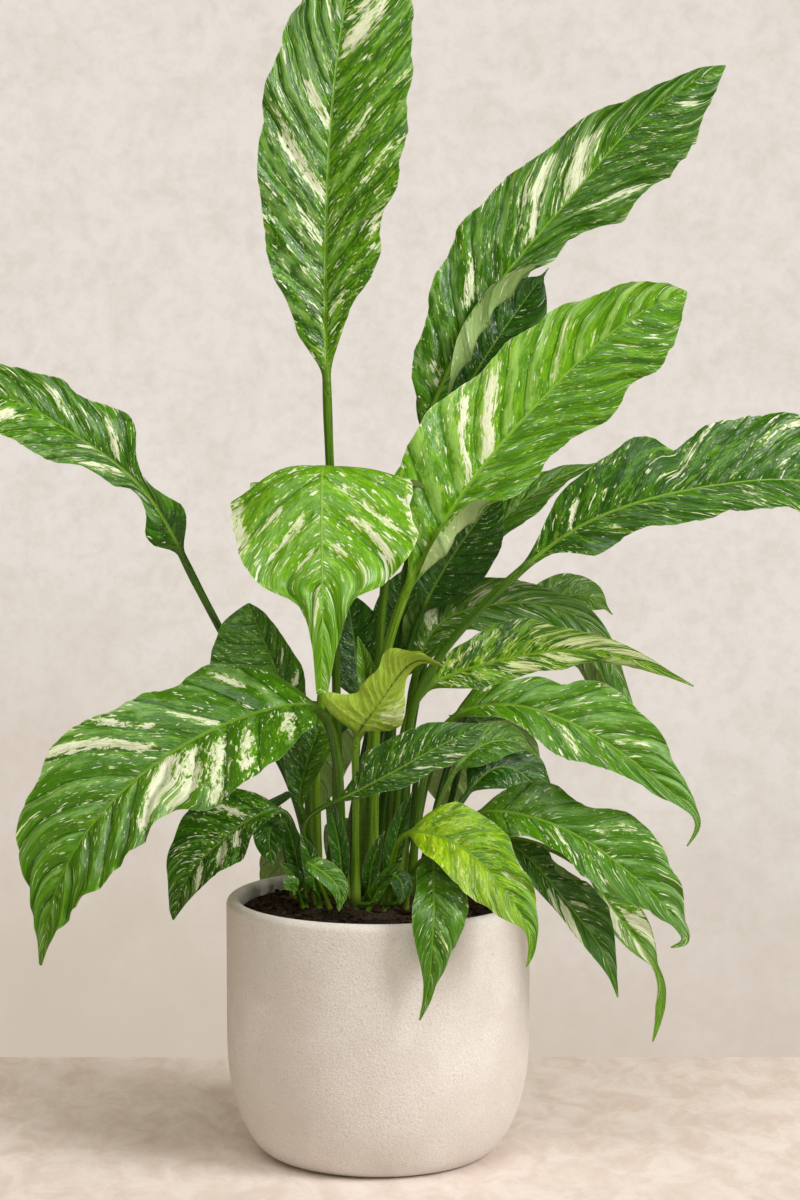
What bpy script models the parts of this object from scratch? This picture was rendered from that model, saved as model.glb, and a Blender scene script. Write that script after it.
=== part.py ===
"""Potted peace lily: a round stoneware pot, its soil, the plant's crown and its leaves.

Units are metres unless a name ends in _MM. The origin is the centre of the pot's flat
underside, +Z is up, and the plant's best side faces -Y.
"""
import math

import bmesh
import bpy
import numpy as np

MM = 0.001

# Pot
POT_RADIUS = 0.090          # outside, from the rim down to where the base curve starts
POT_HEIGHT = 0.154
POT_WALL = 0.0085
POT_FLOOR = 0.011
POT_FOOT_RADIUS = 0.060     # the flat that it stands on
POT_STRAIGHT_TO = 0.072     # height at which the side turns in
POT_STEPS = 48
CURVE_POINTS = 7            # points along each base curve
LIP_POINTS = 5              # points round the soft lip

# Soil and crown
FIT_GAP = 0.0004            # between the soil and the pot
SEAT_GAP = 0.0003           # between touching pieces
SOIL_EDGE_HEIGHT = 0.1465
SOIL_TOP_HEIGHT = 0.1490
SOIL_FLAT_RADIUS = 0.062
CROWN_CENTRE = (-0.006, 0.0)
CROWN_RADIUS = 0.050
CROWN_HEIGHT = 0.0030
CROWN_SIDES = 32

# Leaves
BLADE_THICKNESS = 0.0009
MIDRIB_THICKNESS = 0.0018
TIP_RADIUS = 0.0005
TAIL_LAP = 0.8              # share of the drip tip that the blade's body stops short of
STALK_RINGS = 7
BLADE_STEPS = (0.05, 0.13, 0.23, 0.34, 0.46, 0.58, 0.70, 0.81, 0.90, 0.96, 1.0)
RING_ANGLES = tuple(math.radians(45 * k) for k in range(8))

# Colours: linear red, green, blue
POT_COLOUR = (0.72, 0.65, 0.54)
SOIL_COLOUR = (0.035, 0.018, 0.010)
CROWN_COLOUR = (0.16, 0.17, 0.05)
LEAF_COLOURS = {
    "bright": (0.16, 0.36, 0.03),
    "dark": (0.03, 0.13, 0.03),
    "yellow": (0.30, 0.46, 0.04),
    "pale": (0.36, 0.46, 0.12),
}

# One leaf each, in millimetres. seat: where its stalk stands on the crown. stalk: points up the
# stalk. blade: midrib from the stalk's top to the tip. left and right: each half's greatest width,
# and the powers of its outline at the base and at the point, where less is rounder. fold: how far
# the left and right halves rise out of the blade's plane, in degrees. tail: the drip tip's share
# of the blade, and its half width where it starts. faces: the way the upper side looks, at even
# steps from the blade's base to its tip.
LEAVES = {
    "leaf_top_centre": dict(
        seat=(-24, 24), stalk=[(-25, 36, 245), (-27, 46, 350)], stalk_radius=2.6,
        blade=[(-31, 52, 458), (-31, 62, 562), (-24, 75, 655), (-6, 92, 752)],
        left=(45, 0.95, 0.95), right=(48, 0.90, 0.85), fold=(12, 12), tail=(0.04, 1.6),
        faces=[(-0.1, -1, 0.1), (0.1, -1, 0.2)], tone="bright"),
    "leaf_upper_right": dict(
        seat=(-6, 12), stalk=[(-3, 20, 250), (1, 25, 304), (9, 34, 370)], stalk_radius=2.6,
        blade=[(27, 45, 427), (58, 56, 494), (118, 72, 569), (171, 84, 624), (210, 88, 646)],
        left=(31, 0.70, 0.75), right=(34, 0.90, 0.42), fold=(10, 14), tail=(0.05, 1.6),
        faces=[(-0.2, -1, 0.2), (-0.1, -1, 0.3)], tone="dark"),
    "leaf_upper_right_inner": dict(
        seat=(4, 31), stalk=[(8, 44, 240), (16, 58, 335)], stalk_radius=2.4,
        blade=[(32, 72, 405), (62, 86, 465), (104, 102, 524)],
        left=(30, 0.80, 0.80), right=(30, 0.80, 0.80), fold=(8, 8), tail=(0.06, 1.6),
        faces=[(0.1, -1, 0.3), (0.2, -1, 0.3)], tone="dark"),
    "leaf_right_large": dict(
        seat=(-4, -6), stalk=[(-2, -3, 230), (1, -2, 294), (14, 0, 325)], stalk_radius=2.8,
        blade=[(26, 5, 354), (52, 12, 395), (103, 28, 453), (162, 40, 501), (184, 44, 510)],
        left=(37, 0.85, 0.62), right=(41, 0.90, 0.45), fold=(8, 8), tail=(0.03, 1.6),
        faces=[(-0.1, -1, 0.15), (0.0, -1, 0.3)], tone="bright"),
    "leaf_right_side": dict(
        seat=(10, -4), stalk=[(17, -4, 230), (20, -3, 264), (46, -6, 310)], stalk_radius=2.5,
        blade=[(84, -10, 349), (117, -12, 374), (156, -12, 390), (209, -8, 400), (250, -2, 400),
               (286, 8, 386)],
        left=(35, 0.60, 0.60), right=(24, 0.60, 0.80), fold=(12, 10), tail=(0.05, 1.6),
        faces=[(-0.1, -0.9, 0.4), (0.0, -0.75, 0.65)], tone="dark"),
    "leaf_left_side": dict(
        seat=(-35, 22), stalk=[(-46, 34, 195), (-62, 42, 240), (-92, 42, 302)], stalk_radius=2.3,
        blade=[(-117, 34, 353), (-128, 26, 377), (-146, 16, 402), (-173, 6, 424), (-200, -2, 442),
               (-228, -8, 452), (-254, -12, 445)],
        left=(23, 0.85, 0.55), right=(22, 0.85, 0.55), fold=(8, 8), tail=(0.05, 1.6),
        faces=[(0.3, -0.95, 0.1), (0.1, -0.9, 0.4), (-0.1, -0.75, 0.65), (0, -0.8, 0.6)],
        tone="dark"),
    "leaf_front_arching": dict(
        seat=(-36, 4), stalk=[(-36, 8, 240), (-31, 12, 300)], stalk_radius=2.6,
        blade=[(-29, 22, 356), (-31, 16, 396), (-32, -12, 408), (-32, -46, 376), (-31, -68, 327),
               (-32, -76, 284)],
        left=(56, 0.50, 0.42), right=(56, 0.50, 0.42), fold=(-6, -6), tail=(0.30, 9.0),
        faces=[(0, 0.9, 0.4), (0, -0.3, 1), (0, -1, 0.5), (0, -1, 0.1)], tone="bright"),
    "leaf_left_large": dict(
        seat=(-20, -10), stalk=[(-22, -10, 200), (-24, -11, 236)], stalk_radius=2.9,
        blade=[(-34, -20, 267), (-68, -42, 270), (-110, -64, 254), (-155, -84, 219),
               (-181, -94, 176), (-190, -98, 133)],
        left=(47, 0.50, 0.60), right=(45, 0.50, 0.55), fold=(6, 6), tail=(0.04, 1.6),
        faces=[(-0.1, -0.55, 0.85), (-0.25, -0.8, 0.6), (-0.5, -0.85, 0.2)], tone="dark"),
    "leaf_young_curled": dict(
        seat=(-13, -25), stalk=[(-13, -22, 200), (-13, -25, 235)], stalk_radius=2.2,
        blade=[(-12, -28, 253), (-2, -34, 270), (10, -40, 288), (22, -44, 300), (39, -52, 297)],
        left=(20, 0.60, 0.70), right=(20, 0.60, 0.70), fold=(30, 30), tail=(0.30, 4.0),
        faces=[(0.2, 0.9, 0.3), (0.1, 0.8, 0.6)], tone="pale"),
    "leaf_left_upright": dict(
        seat=(-44, 13), stalk=[(-42, 16, 200)], stalk_radius=2.0,
        blade=[(-45, 18, 240), (-60, 22, 284), (-80, 30, 322)],
        left=(27, 0.70, 0.45), right=(27, 0.70, 0.45), fold=(8, 8), tail=(0.04, 1.6),
        faces=[(-0.2, -1, 0.1), (-0.3, -1, 0.2)], tone="dark"),
    "leaf_left_low": dict(
        seat=(-43, -17), stalk=[(-47, -22, 184)], stalk_radius=1.8,
        blade=[(-56, -27, 209), (-74, -36, 206), (-92, -44, 193), (-107, -50, 177),
               (-115, -54, 150)],
        left=(22, 0.60, 0.80), right=(22, 0.60, 0.80), fold=(8, 8), tail=(0.06, 1.6),
        faces=[(-0.2, -0.7, 0.7), (-0.4, -0.8, 0.4)], tone="dark"),
    "leaf_left_rim": dict(
        seat=(-50, -5), stalk=[(-52, -8, 178)], stalk_radius=1.4,
        blade=[(-56, -12, 199), (-62, -24, 199), (-61, -34, 177)],
        left=(10, 0.70, 0.80), right=(10, 0.70, 0.80), fold=(8, 8), tail=(0.06, 1.6),
        faces=[(-0.3, -0.9, 0.4), (-0.2, -1, 0.1)], tone="dark"),
    "leaf_left_inner": dict(
        seat=(-28, -3), stalk=[(-40, -3, 185)], stalk_radius=1.8,
        blade=[(-46, -4, 208), (-44, -1, 226), (-33, 2, 246)],
        left=(13, 0.70, 0.80), right=(13, 0.70, 0.80), fold=(16, 16), tail=(0.06, 1.6),
        faces=[(-0.1, -1, 0.1), (0.1, -1, 0.1)], tone="bright"),
    "leaf_centre_dark": dict(
        seat=(-35, -27), stalk=[(-42, -30, 186), (-42, -36, 204)], stalk_radius=1.4,
        blade=[(-25, -42, 217), (-2, -51, 230), (22, -55, 244), (45, -52, 256), (64, -47, 263)],
        left=(20, 0.60, 0.70), right=(15, 0.60, 0.70), fold=(8, 8), tail=(0.04, 1.6),
        faces=[(0, -0.9, 0.4), (0, -0.95, 0.3)], tone="dark"),
    "leaf_right_variegated": dict(
        seat=(7, 10), stalk=[(12, 14, 220)], stalk_radius=2.2,
        blade=[(28, 15, 275), (50, 18, 286), (93, 20, 296), (127, 18, 298), (160, 14, 290),
               (187, 8, 278)],
        left=(19, 0.60, 0.70), right=(19, 0.60, 0.75), fold=(8, 8), tail=(0.22, 4.0),
        faces=[(0, -0.85, 0.5), (0.1, -0.85, 0.5)], tone="bright"),
    "leaf_right_middle": dict(
        seat=(20, -3), stalk=[(26, -8, 220)], stalk_radius=2.2,
        blade=[(44, -16, 260), (74, -34, 268), (109, -44, 256), (142, -50, 237), (172, -54, 216),
               (187, -56, 200), (182, -58, 188)],
        left=(29, 0.50, 0.70), right=(23, 0.50, 0.80), fold=(8, 8), tail=(0.10, 2.5),
        faces=[(0.0, -0.8, 0.6), (0.35, -0.85, 0.45)], tone="dark"),
    "leaf_right_back_dark": dict(
        seat=(16, 22), stalk=[(16, 30, 220)], stalk_radius=2.2,
        blade=[(22, 36, 280), (38, 42, 312), (66, 46, 322), (101, 50, 322), (130, 54, 308),
               (148, 56, 282), (156, 56, 257)],
        left=(26, 0.60, 0.60), right=(26, 0.60, 0.60), fold=(8, 8), tail=(0.22, 5.0),
        faces=[(-0.3, -0.85, 0.5), (0, -0.8, 0.6), (0.3, -0.9, 0.2)], tone="dark"),
    "leaf_far_back_small": dict(
        seat=(19, 36), stalk=[(40, 62, 240)], stalk_radius=1.8,
        blade=[(88, 84, 300), (112, 94, 321), (130, 101, 322), (145, 106, 310)],
        left=(16, 0.60, 0.70), right=(16, 0.60, 0.70), fold=(6, 6), tail=(0.10, 2.0),
        faces=[(0, -0.8, 0.6), (0.2, -0.8, 0.6)], tone="dark"),
    "leaf_front_yellow": dict(
        seat=(5, -34), stalk=[(9, -48, 185)], stalk_radius=1.8,
        blade=[(17, -64, 202), (34, -78, 204), (60, -92, 189), (81, -102, 163), (87, -106, 150),
               (84, -107, 134)],
        left=(25, 0.50, 0.60), right=(23, 0.50, 0.60), fold=(5, 5), tail=(0.14, 3.0),
        faces=[(0.1, -0.8, 0.6), (0.3, -0.95, 0.2)], tone="yellow"),
    "leaf_front_hanging": dict(
        seat=(16, -39), stalk=[(22, -48, 180)], stalk_radius=1.5,
        blade=[(30, -60, 188), (32, -82, 178), (32, -100, 160), (31, -103, 144), (29, -104, 122),
               (24, -105, 103)],
        left=(17, 0.50, 0.80), right=(17, 0.50, 0.80), fold=(6, 6), tail=(0.18, 3.0),
        faces=[(0, -0.6, 0.8), (0, -1, 0.2), (0, -1, 0)], tone="dark"),
    "leaf_lower_right": dict(
        seat=(30, -13), stalk=[(42, -18, 190)], stalk_radius=2.0,
        blade=[(57, -24, 206), (84, -38, 209), (119, -52, 197), (152, -64, 173), (173, -70, 150),
               (178, -72, 138)],
        left=(23, 0.60, 0.55), right=(28, 0.60, 0.55), fold=(6, 6), tail=(0.05, 1.6),
        faces=[(0.1, -0.75, 0.65), (0.4, -0.85, 0.35)], tone="dark"),
    "leaf_lower_right_under": dict(
        seat=(27, -25), stalk=[(48, -28, 186)], stalk_radius=1.6,
        blade=[(72, -32, 192), (93, -40, 178), (119, -50, 147), (131, -54, 130), (139, -56, 105)],
        left=(17, 0.60, 0.75), right=(17, 0.60, 0.75), fold=(8, 8), tail=(0.10, 2.5),
        faces=[(0.2, -0.85, 0.5), (0.4, -0.95, 0)], tone="dark"),
    "leaf_lower_right_far": dict(
        seat=(38, 0), stalk=[(66, -4, 188), (96, -12, 186)], stalk_radius=1.6,
        blade=[(122, -22, 168), (133, -28, 149), (150, -34, 129), (162, -36, 115), (166, -36, 100),
               (161, -36, 74)],
        left=(16, 0.60, 0.70), right=(16, 0.60, 0.70), fold=(8, 8), tail=(0.40, 5.0),
        faces=[(0.3, -0.9, 0.3), (0.4, -1, 0)], tone="bright"),
    "leaf_right_back_pale": dict(
        seat=(27, 11), stalk=[(34, 18, 200)], stalk_radius=1.6,
        blade=[(46, 28, 224), (68, 38, 240), (86, 44, 238), (99, 48, 227)],
        left=(15, 0.60, 0.70), right=(15, 0.60, 0.70), fold=(8, 8), tail=(0.25, 3.0),
        faces=[(-0.1, -0.85, 0.5), (0.2, -0.8, 0.5)], tone="pale"),
    "leaf_right_back_low": dict(
        seat=(37, 13), stalk=[(42, 24, 190)], stalk_radius=1.7,
        blade=[(54, 34, 210), (74, 44, 224), (92, 52, 214), (102, 56, 194)],
        left=(17, 0.60, 0.70), right=(17, 0.60, 0.70), fold=(8, 8), tail=(0.06, 1.6),
        faces=[(-0.1, -0.8, 0.6), (0.3, -0.8, 0.5)], tone="dark"),
    "leaf_behind_right_large": dict(
        seat=(11, 41), stalk=[(18, 58, 230), (32, 74, 300)], stalk_radius=2.3,
        blade=[(44, 84, 330), (66, 98, 358), (100, 112, 388), (138, 122, 404)],
        left=(17, 0.70, 0.80), right=(17, 0.70, 0.80), fold=(8, 8), tail=(0.06, 1.6),
        faces=[(-0.4, -0.6, 0.9), (-0.2, -0.6, 0.9)], tone="dark"),
    "leaf_behind_right_inner": dict(
        seat=(-3, 24), stalk=[(6, 30, 230), (16, 36, 290)], stalk_radius=2.0,
        blade=[(26, 42, 318), (46, 46, 354), (76, 50, 394)],
        left=(22, 0.70, 0.80), right=(24, 0.70, 0.80), fold=(8, 8), tail=(0.06, 1.6),
        faces=[(0.1, -0.9, 0.3), (0.1, -0.9, 0.3)], tone="dark"),
    "leaf_inner_slim": dict(
        seat=(-12, 2), stalk=[(-9, 4, 210)], stalk_radius=1.6,
        blade=[(-4, 5, 258), (-6, 6, 284), (-12, 6, 308)],
        left=(7, 0.70, 0.80), right=(7, 0.70, 0.80), fold=(30, 30), tail=(0.06, 1.6),
        faces=[(0, -1, 0.1), (0, -1, 0.1)], tone="bright"),
    "leaf_inner_dark_left": dict(
        seat=(-14, 31), stalk=[(-14, 44, 220)], stalk_radius=2.0,
        blade=[(-12, 54, 262), (-14, 62, 292), (-20, 68, 330)],
        left=(20, 0.70, 0.70), right=(20, 0.70, 0.70), fold=(8, 8), tail=(0.06, 1.6),
        faces=[(0, -1, 0.2), (0, -1, 0.2)], tone="dark"),
    "leaf_inner_dark_right": dict(
        seat=(-6, 40), stalk=[(4, 60, 220)], stalk_radius=2.0,
        blade=[(8, 76, 268), (13, 86, 300), (15, 92, 342)],
        left=(20, 0.70, 0.70), right=(20, 0.70, 0.70), fold=(8, 8), tail=(0.06, 1.6),
        faces=[(0, -1, 0.2), (0, -1, 0.2)], tone="dark"),
    "leaf_soil_front": dict(
        seat=(-27, -40), stalk=[(-38, -50, 178)], stalk_radius=1.2,
        blade=[(-41, -56, 184), (-29, -63, 180), (-20, -67, 170), (-21, -69, 158)],
        left=(9, 0.60, 0.80), right=(9, 0.60, 0.80), fold=(8, 8), tail=(0.06, 1.6),
        faces=[(0, -0.8, 0.6), (0, -1, 0.2)], tone="bright"),
    "leaf_soil_left": dict(
        seat=(-44, -28), stalk=[(-46, -33, 160)], stalk_radius=1.0,
        blade=[(-47, -37, 164), (-50, -42, 168), (-54, -47, 167)],
        left=(6, 0.60, 0.60), right=(6, 0.60, 0.60), fold=(8, 8), tail=(0.04, 1.6),
        faces=[(0, -0.8, 0.6), (0, -0.9, 0.4)], tone="bright"),
    "leaf_soil_right": dict(
        seat=(-6, -42), stalk=[(2, -46, 170)], stalk_radius=1.1,
        blade=[(8, -50, 176), (14, -56, 172), (13, -60, 161)],
        left=(6, 0.60, 0.80), right=(6, 0.60, 0.80), fold=(8, 8), tail=(0.06, 1.6),
        faces=[(0, -0.8, 0.6), (0, -1, 0.2)], tone="dark"),
    "leaf_back_high": dict(
        seat=(-16, 42), stalk=[(2, 84, 240), (18, 112, 310)], stalk_radius=2.4,
        blade=[(40, 130, 350), (72, 156, 396), (102, 178, 440), (128, 192, 478)],
        left=(32, 0.80, 0.80), right=(32, 0.80, 0.80), fold=(8, 8), tail=(0.05, 1.6),
        faces=[(0.0, -0.3, 1), (0.1, 0.0, 1)], tone="dark"),
    "leaf_back_left": dict(
        seat=(-38, 32), stalk=[(-52, 62, 204)], stalk_radius=2.2,
        blade=[(-70, 92, 232), (-102, 126, 246), (-138, 158, 234), (-164, 178, 206),
               (-174, 186, 178)],
        left=(34, 0.60, 0.80), right=(34, 0.60, 0.80), fold=(6, 6), tail=(0.05, 1.6),
        faces=[(-0.1, 0.4, 0.9), (-0.4, 0.8, 0.4)], tone="dark"),
    "leaf_back_left_low": dict(
        seat=(-50, 14), stalk=[(-58, 38, 182)], stalk_radius=1.8,
        blade=[(-64, 62, 194), (-78, 90, 192), (-90, 114, 172), (-94, 124, 148)],
        left=(24, 0.60, 0.80), right=(24, 0.60, 0.80), fold=(6, 6), tail=(0.06, 1.6),
        faces=[(-0.3, 0.4, 0.9), (-0.6, 0.7, 0.3)], tone="dark"),
    "leaf_back_right_low": dict(
        seat=(30, 26), stalk=[(44, 60, 200)], stalk_radius=2.0,
        blade=[(60, 96, 236), (80, 132, 246), (102, 166, 226), (116, 186, 184)],
        left=(30, 0.60, 0.80), right=(30, 0.60, 0.80), fold=(6, 6), tail=(0.05, 1.6),
        faces=[(0.1, 0.4, 0.9), (0.4, 0.8, 0.4)], tone="dark"),
    "leaf_back_upper": dict(
        seat=(-22, 36), stalk=[(-2, 84, 260), (22, 110, 350)], stalk_radius=2.3,
        blade=[(42, 126, 420), (66, 150, 496), (104, 176, 556), (142, 200, 594)],
        left=(25, 0.80, 0.80), right=(25, 0.80, 0.80), fold=(8, 8), tail=(0.05, 1.6),
        faces=[(0.5, 0.3, -0.2), (0.6, 0.3, 0.2)], tone="dark"),
    "leaf_back_right": dict(
        seat=(24, 18), stalk=[(38, 50, 210)], stalk_radius=2.1,
        blade=[(62, 88, 262), (98, 124, 292), (136, 154, 284), (160, 174, 250), (166, 182, 222)],
        left=(30, 0.60, 0.80), right=(30, 0.60, 0.80), fold=(6, 6), tail=(0.06, 1.6),
        faces=[(0.1, 0.4, 0.9), (0.5, 0.8, 0.3)], tone="dark"),
    "leaf_back_arching": dict(
        seat=(-32, 38), stalk=[(-26, 66, 200)], stalk_radius=2.1,
        blade=[(-28, 94, 232), (-32, 130, 250), (-38, 166, 232), (-42, 188, 194),
               (-42, 194, 162)],
        left=(32, 0.60, 0.80), right=(32, 0.60, 0.80), fold=(6, 6), tail=(0.06, 1.6),
        faces=[(0, 0.3, 1), (0, 1, 0.3)], tone="dark"),
    "leaf_back_centre": dict(
        seat=(10, 28), stalk=[(20, 56, 190)], stalk_radius=1.9,
        blade=[(24, 84, 216), (32, 114, 228), (42, 140, 206), (46, 152, 172)],
        left=(25, 0.60, 0.80), right=(25, 0.60, 0.80), fold=(6, 6), tail=(0.06, 1.6),
        faces=[(0.1, 0.3, 1), (0.3, 1, 0.3)], tone="bright"),
    "leaf_back_low": dict(
        seat=(-6, 47), stalk=[(-6, 62, 172)], stalk_radius=1.6,
        blade=[(-8, 78, 182), (-12, 96, 180), (-16, 106, 160), (-18, 108, 130)],
        left=(20, 0.60, 0.80), right=(20, 0.60, 0.80), fold=(6, 6), tail=(0.08, 1.6),
        faces=[(0, 0.4, 1), (0, 1, 0.1)], tone="dark"),
    "leaf_back_low_left": dict(
        seat=(-46, 23), stalk=[(-50, 44, 168)], stalk_radius=1.5,
        blade=[(-52, 66, 176), (-58, 84, 166), (-60, 92, 140), (-60, 92, 116)],
        left=(17, 0.60, 0.80), right=(17, 0.60, 0.80), fold=(6, 6), tail=(0.08, 1.6),
        faces=[(-0.3, 0.4, 1), (-0.6, 0.8, 0.1)], tone="bright"),
}


def material(name, colour, roughness):
    """A plain Principled material."""
    new = bpy.data.materials.new(name)
    new.use_nodes = True
    shader = new.node_tree.nodes["Principled BSDF"]
    shader.inputs["Base Color"].default_value = (*colour, 1.0)
    shader.inputs["Roughness"].default_value = roughness
    shader.inputs["Metallic"].default_value = 0.0
    return new


def add_object(name, mesh, collection, finish):
    """Put a mesh in the collection as a named object with its own material."""
    mesh.materials.append(finish)
    made = bpy.data.objects.new(name, mesh)
    collection.objects.link(made)
    return made


def bezier(start, lead, trail, end, count):
    """Points along a cubic curve, both ends included."""
    t = np.linspace(0, 1, count)[:, None]
    parts = ((1 - t) ** 3, 3 * t * (1 - t) ** 2, 3 * t * t * (1 - t), t ** 3)
    corners = (start, lead, trail, end)
    return [tuple(point) for point in sum(p * np.array(c) for p, c in zip(parts, corners))]


def turned(name, profile, steps, collection, finish):
    """Turn a profile, given from the top centre down the outside, about +Z."""
    mesh = bpy.data.meshes.new(name)
    points = [(radius, 0.0, height) for radius, height in profile]
    mesh.from_pydata(points, [(k, k + 1) for k in range(len(points) - 1)], [])
    made = add_object(name, mesh, collection, finish)
    screw = made.modifiers.new("turn", "SCREW")
    screw.axis = "Z"
    screw.angle = 2 * math.pi
    screw.steps = steps
    screw.render_steps = steps
    screw.use_merge_vertices = True
    screw.merge_threshold = 0.0001
    screw.use_smooth_shade = True
    return made


def base_curve(inset, lift):
    """The curve from the straight side in to the flat, drawn in by the wall's thickness."""
    side = POT_RADIUS - inset
    foot = POT_FOOT_RADIUS - inset
    top = POT_STRAIGHT_TO
    drop = top - lift
    return bezier((side, top), (side, top - 0.62 * drop), (side - 0.5 * (side - foot), lift),
                  (foot, lift), CURVE_POINTS)


def add_pot(collection):
    """A hollow pot with a soft lip, straight sides and a rounded base."""
    lip = POT_WALL / 2
    lip_centre = POT_RADIUS - lip
    angles = np.linspace(math.pi, 0, LIP_POINTS)
    rim = [(lip_centre + lip * math.cos(a), POT_HEIGHT - lip + lip * math.sin(a)) for a in angles]
    inside = base_curve(POT_WALL, POT_FLOOR)
    profile = [(0.0, POT_FLOOR)] + inside[::-1] + rim + base_curve(0.0, 0.0) + [(0.0, 0.0)]
    return turned("pot", profile, POT_STEPS, collection, material("pot", POT_COLOUR, 0.75))


def add_soil(collection):
    """The potting mix, level in the middle and lower along the wall."""
    side = POT_RADIUS - POT_WALL - FIT_GAP
    wall = base_curve(POT_WALL + FIT_GAP, POT_FLOOR + FIT_GAP)
    profile = [(0.0, SOIL_TOP_HEIGHT), (SOIL_FLAT_RADIUS, SOIL_TOP_HEIGHT),
               (side, SOIL_EDGE_HEIGHT)] + wall + [(0.0, POT_FLOOR + FIT_GAP)]
    return turned("soil", profile, POT_STEPS, collection, material("soil", SOIL_COLOUR, 0.95))


def add_crown(collection):
    """The flat crown that the stalks stand on."""
    mesh = bpy.data.meshes.new("crown")
    shape = bmesh.new()
    bmesh.ops.create_cone(shape, cap_ends=True, segments=CROWN_SIDES, radius1=CROWN_RADIUS,
                          radius2=CROWN_RADIUS, depth=CROWN_HEIGHT)
    height = SOIL_TOP_HEIGHT + SEAT_GAP + CROWN_HEIGHT / 2
    bmesh.ops.translate(shape, verts=shape.verts, vec=(*CROWN_CENTRE, height))
    shape.to_mesh(mesh)
    shape.free()
    return add_object("crown", mesh, collection, material("crown", CROWN_COLOUR, 0.8))


def spline(points, places):
    """A natural cubic curve through the points, read at places from 0 to 1 of its length.

    The curve's own parameter is the running length of the straight lines between the points.
    """
    points = np.array(points, float)
    knots = np.concatenate([[0], np.cumsum(np.linalg.norm(np.diff(points, axis=0), axis=1))])
    gaps = np.diff(knots)
    count = len(points)
    system = np.eye(count)
    right = np.zeros((count, 3))
    for k in range(1, count - 1):
        system[k, k - 1:k + 2] = gaps[k - 1], 2 * (gaps[k - 1] + gaps[k]), gaps[k]
        right[k] = 6 * ((points[k + 1] - points[k]) / gaps[k]
                        - (points[k] - points[k - 1]) / gaps[k - 1])
    bend = np.linalg.solve(system, right)
    at = np.array(places) * knots[-1]
    k = np.clip(np.searchsorted(knots, at, side="right") - 1, 0, count - 2)
    gap = gaps[k][:, None]
    back = ((knots[k + 1] - at) / gaps[k])[:, None]
    ahead = 1 - back
    return (back * points[k] + ahead * points[k + 1]
            + ((back ** 3 - back) * bend[k] + (ahead ** 3 - ahead) * bend[k + 1]) * gap ** 2 / 6)


def leaf_places(leaf):
    """Where the rings lie along the leaf, and where its blade starts, as shares of its length."""
    seat_height = (SOIL_TOP_HEIGHT + CROWN_HEIGHT + 2 * SEAT_GAP) / MM
    route = [(*leaf["seat"], seat_height)] + leaf["stalk"] + leaf["blade"]
    steps = np.linalg.norm(np.diff(np.array(route, float), axis=0), axis=1)
    neck = steps[:1 + len(leaf["stalk"])].sum() / steps.sum()
    stalk = np.linspace(0, neck, STALK_RINGS)
    blade = neck + (1 - neck) * np.array(BLADE_STEPS)
    return route, neck, np.concatenate([stalk, blade])


def unit(vectors):
    """Vectors scaled to length 1."""
    return vectors / np.linalg.norm(vectors, axis=-1, keepdims=True)


def half_width(leaf, side, along):
    """One half's width at shares of the blade: round base, long point, narrow drip tip."""
    greatest, base, point = leaf[side]
    tail_share, tail_start = leaf["tail"]
    body = np.clip(along / (1 - TAIL_LAP * tail_share), 0, 1)
    widest = base / (base + point)
    peak = widest ** base * (1 - widest) ** point
    wide = greatest * body ** base * (1 - body) ** point / peak
    taper = np.clip((1 - along) / tail_share, 0, 1) * np.clip(along / BLADE_STEPS[2], 0, 1)
    return np.maximum(wide, np.maximum(tail_start * taper, TIP_RADIUS / MM))


def leaf_rings(leaf):
    """The leaf's closed sections, one ring of eight points for each place along it."""
    route, neck, places = leaf_places(leaf)
    centre = spline(route, places)
    step = 0.002
    ahead = spline(route, np.clip(places + step, 0, 1))
    behind = spline(route, np.clip(places - step, 0, 1))
    along = unit(ahead - behind)
    along[0] = (0, 0, 1)
    blade = np.clip((places - neck) / (1 - neck), 0, 1)
    faces = np.array(leaf["faces"], float)
    marks = np.linspace(0, 1, len(faces))
    facing = np.stack([np.interp(blade, marks, faces[:, k]) for k in range(3)], axis=1)
    face = unit(facing - (facing * along).sum(axis=1)[:, None] * along)
    side = np.cross(along, face)
    share = np.clip(blade / BLADE_STEPS[1], 0, 1)[:, None]
    rings = []
    for angle in RING_ANGLES:
        across, through = math.cos(angle), math.sin(angle)
        round_part = leaf["stalk_radius"] * (across * side + through * face)
        half = half_width(leaf, "right" if across > 0 else "left", blade)
        fold = math.radians(leaf["fold"][1 if across > 0 else 0])
        reach = abs(across) if abs(across) > 0.9 else 0.5 * (abs(across) > 0.1)
        out = math.copysign(1, across) * math.cos(fold) * side + math.sin(fold) * face
        thick = (MIDRIB_THICKNESS if abs(across) < 0.1 else BLADE_THICKNESS) / MM / 2
        lift = math.copysign(thick, through) if abs(through) > 0.1 else 0.0
        narrow = np.minimum(1, half / 4)[:, None]
        flat_part = reach * half[:, None] * out + lift * narrow * face
        rings.append(centre + (1 - share) * round_part + share * flat_part)
    rings = np.stack(rings, axis=1)
    tip = TIP_RADIUS / MM
    for k, angle in enumerate(RING_ANGLES):
        rings[-1, k] = centre[-1] + tip * (math.cos(angle) * side[-1] + math.sin(angle) * face[-1])
    return rings * MM


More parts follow.
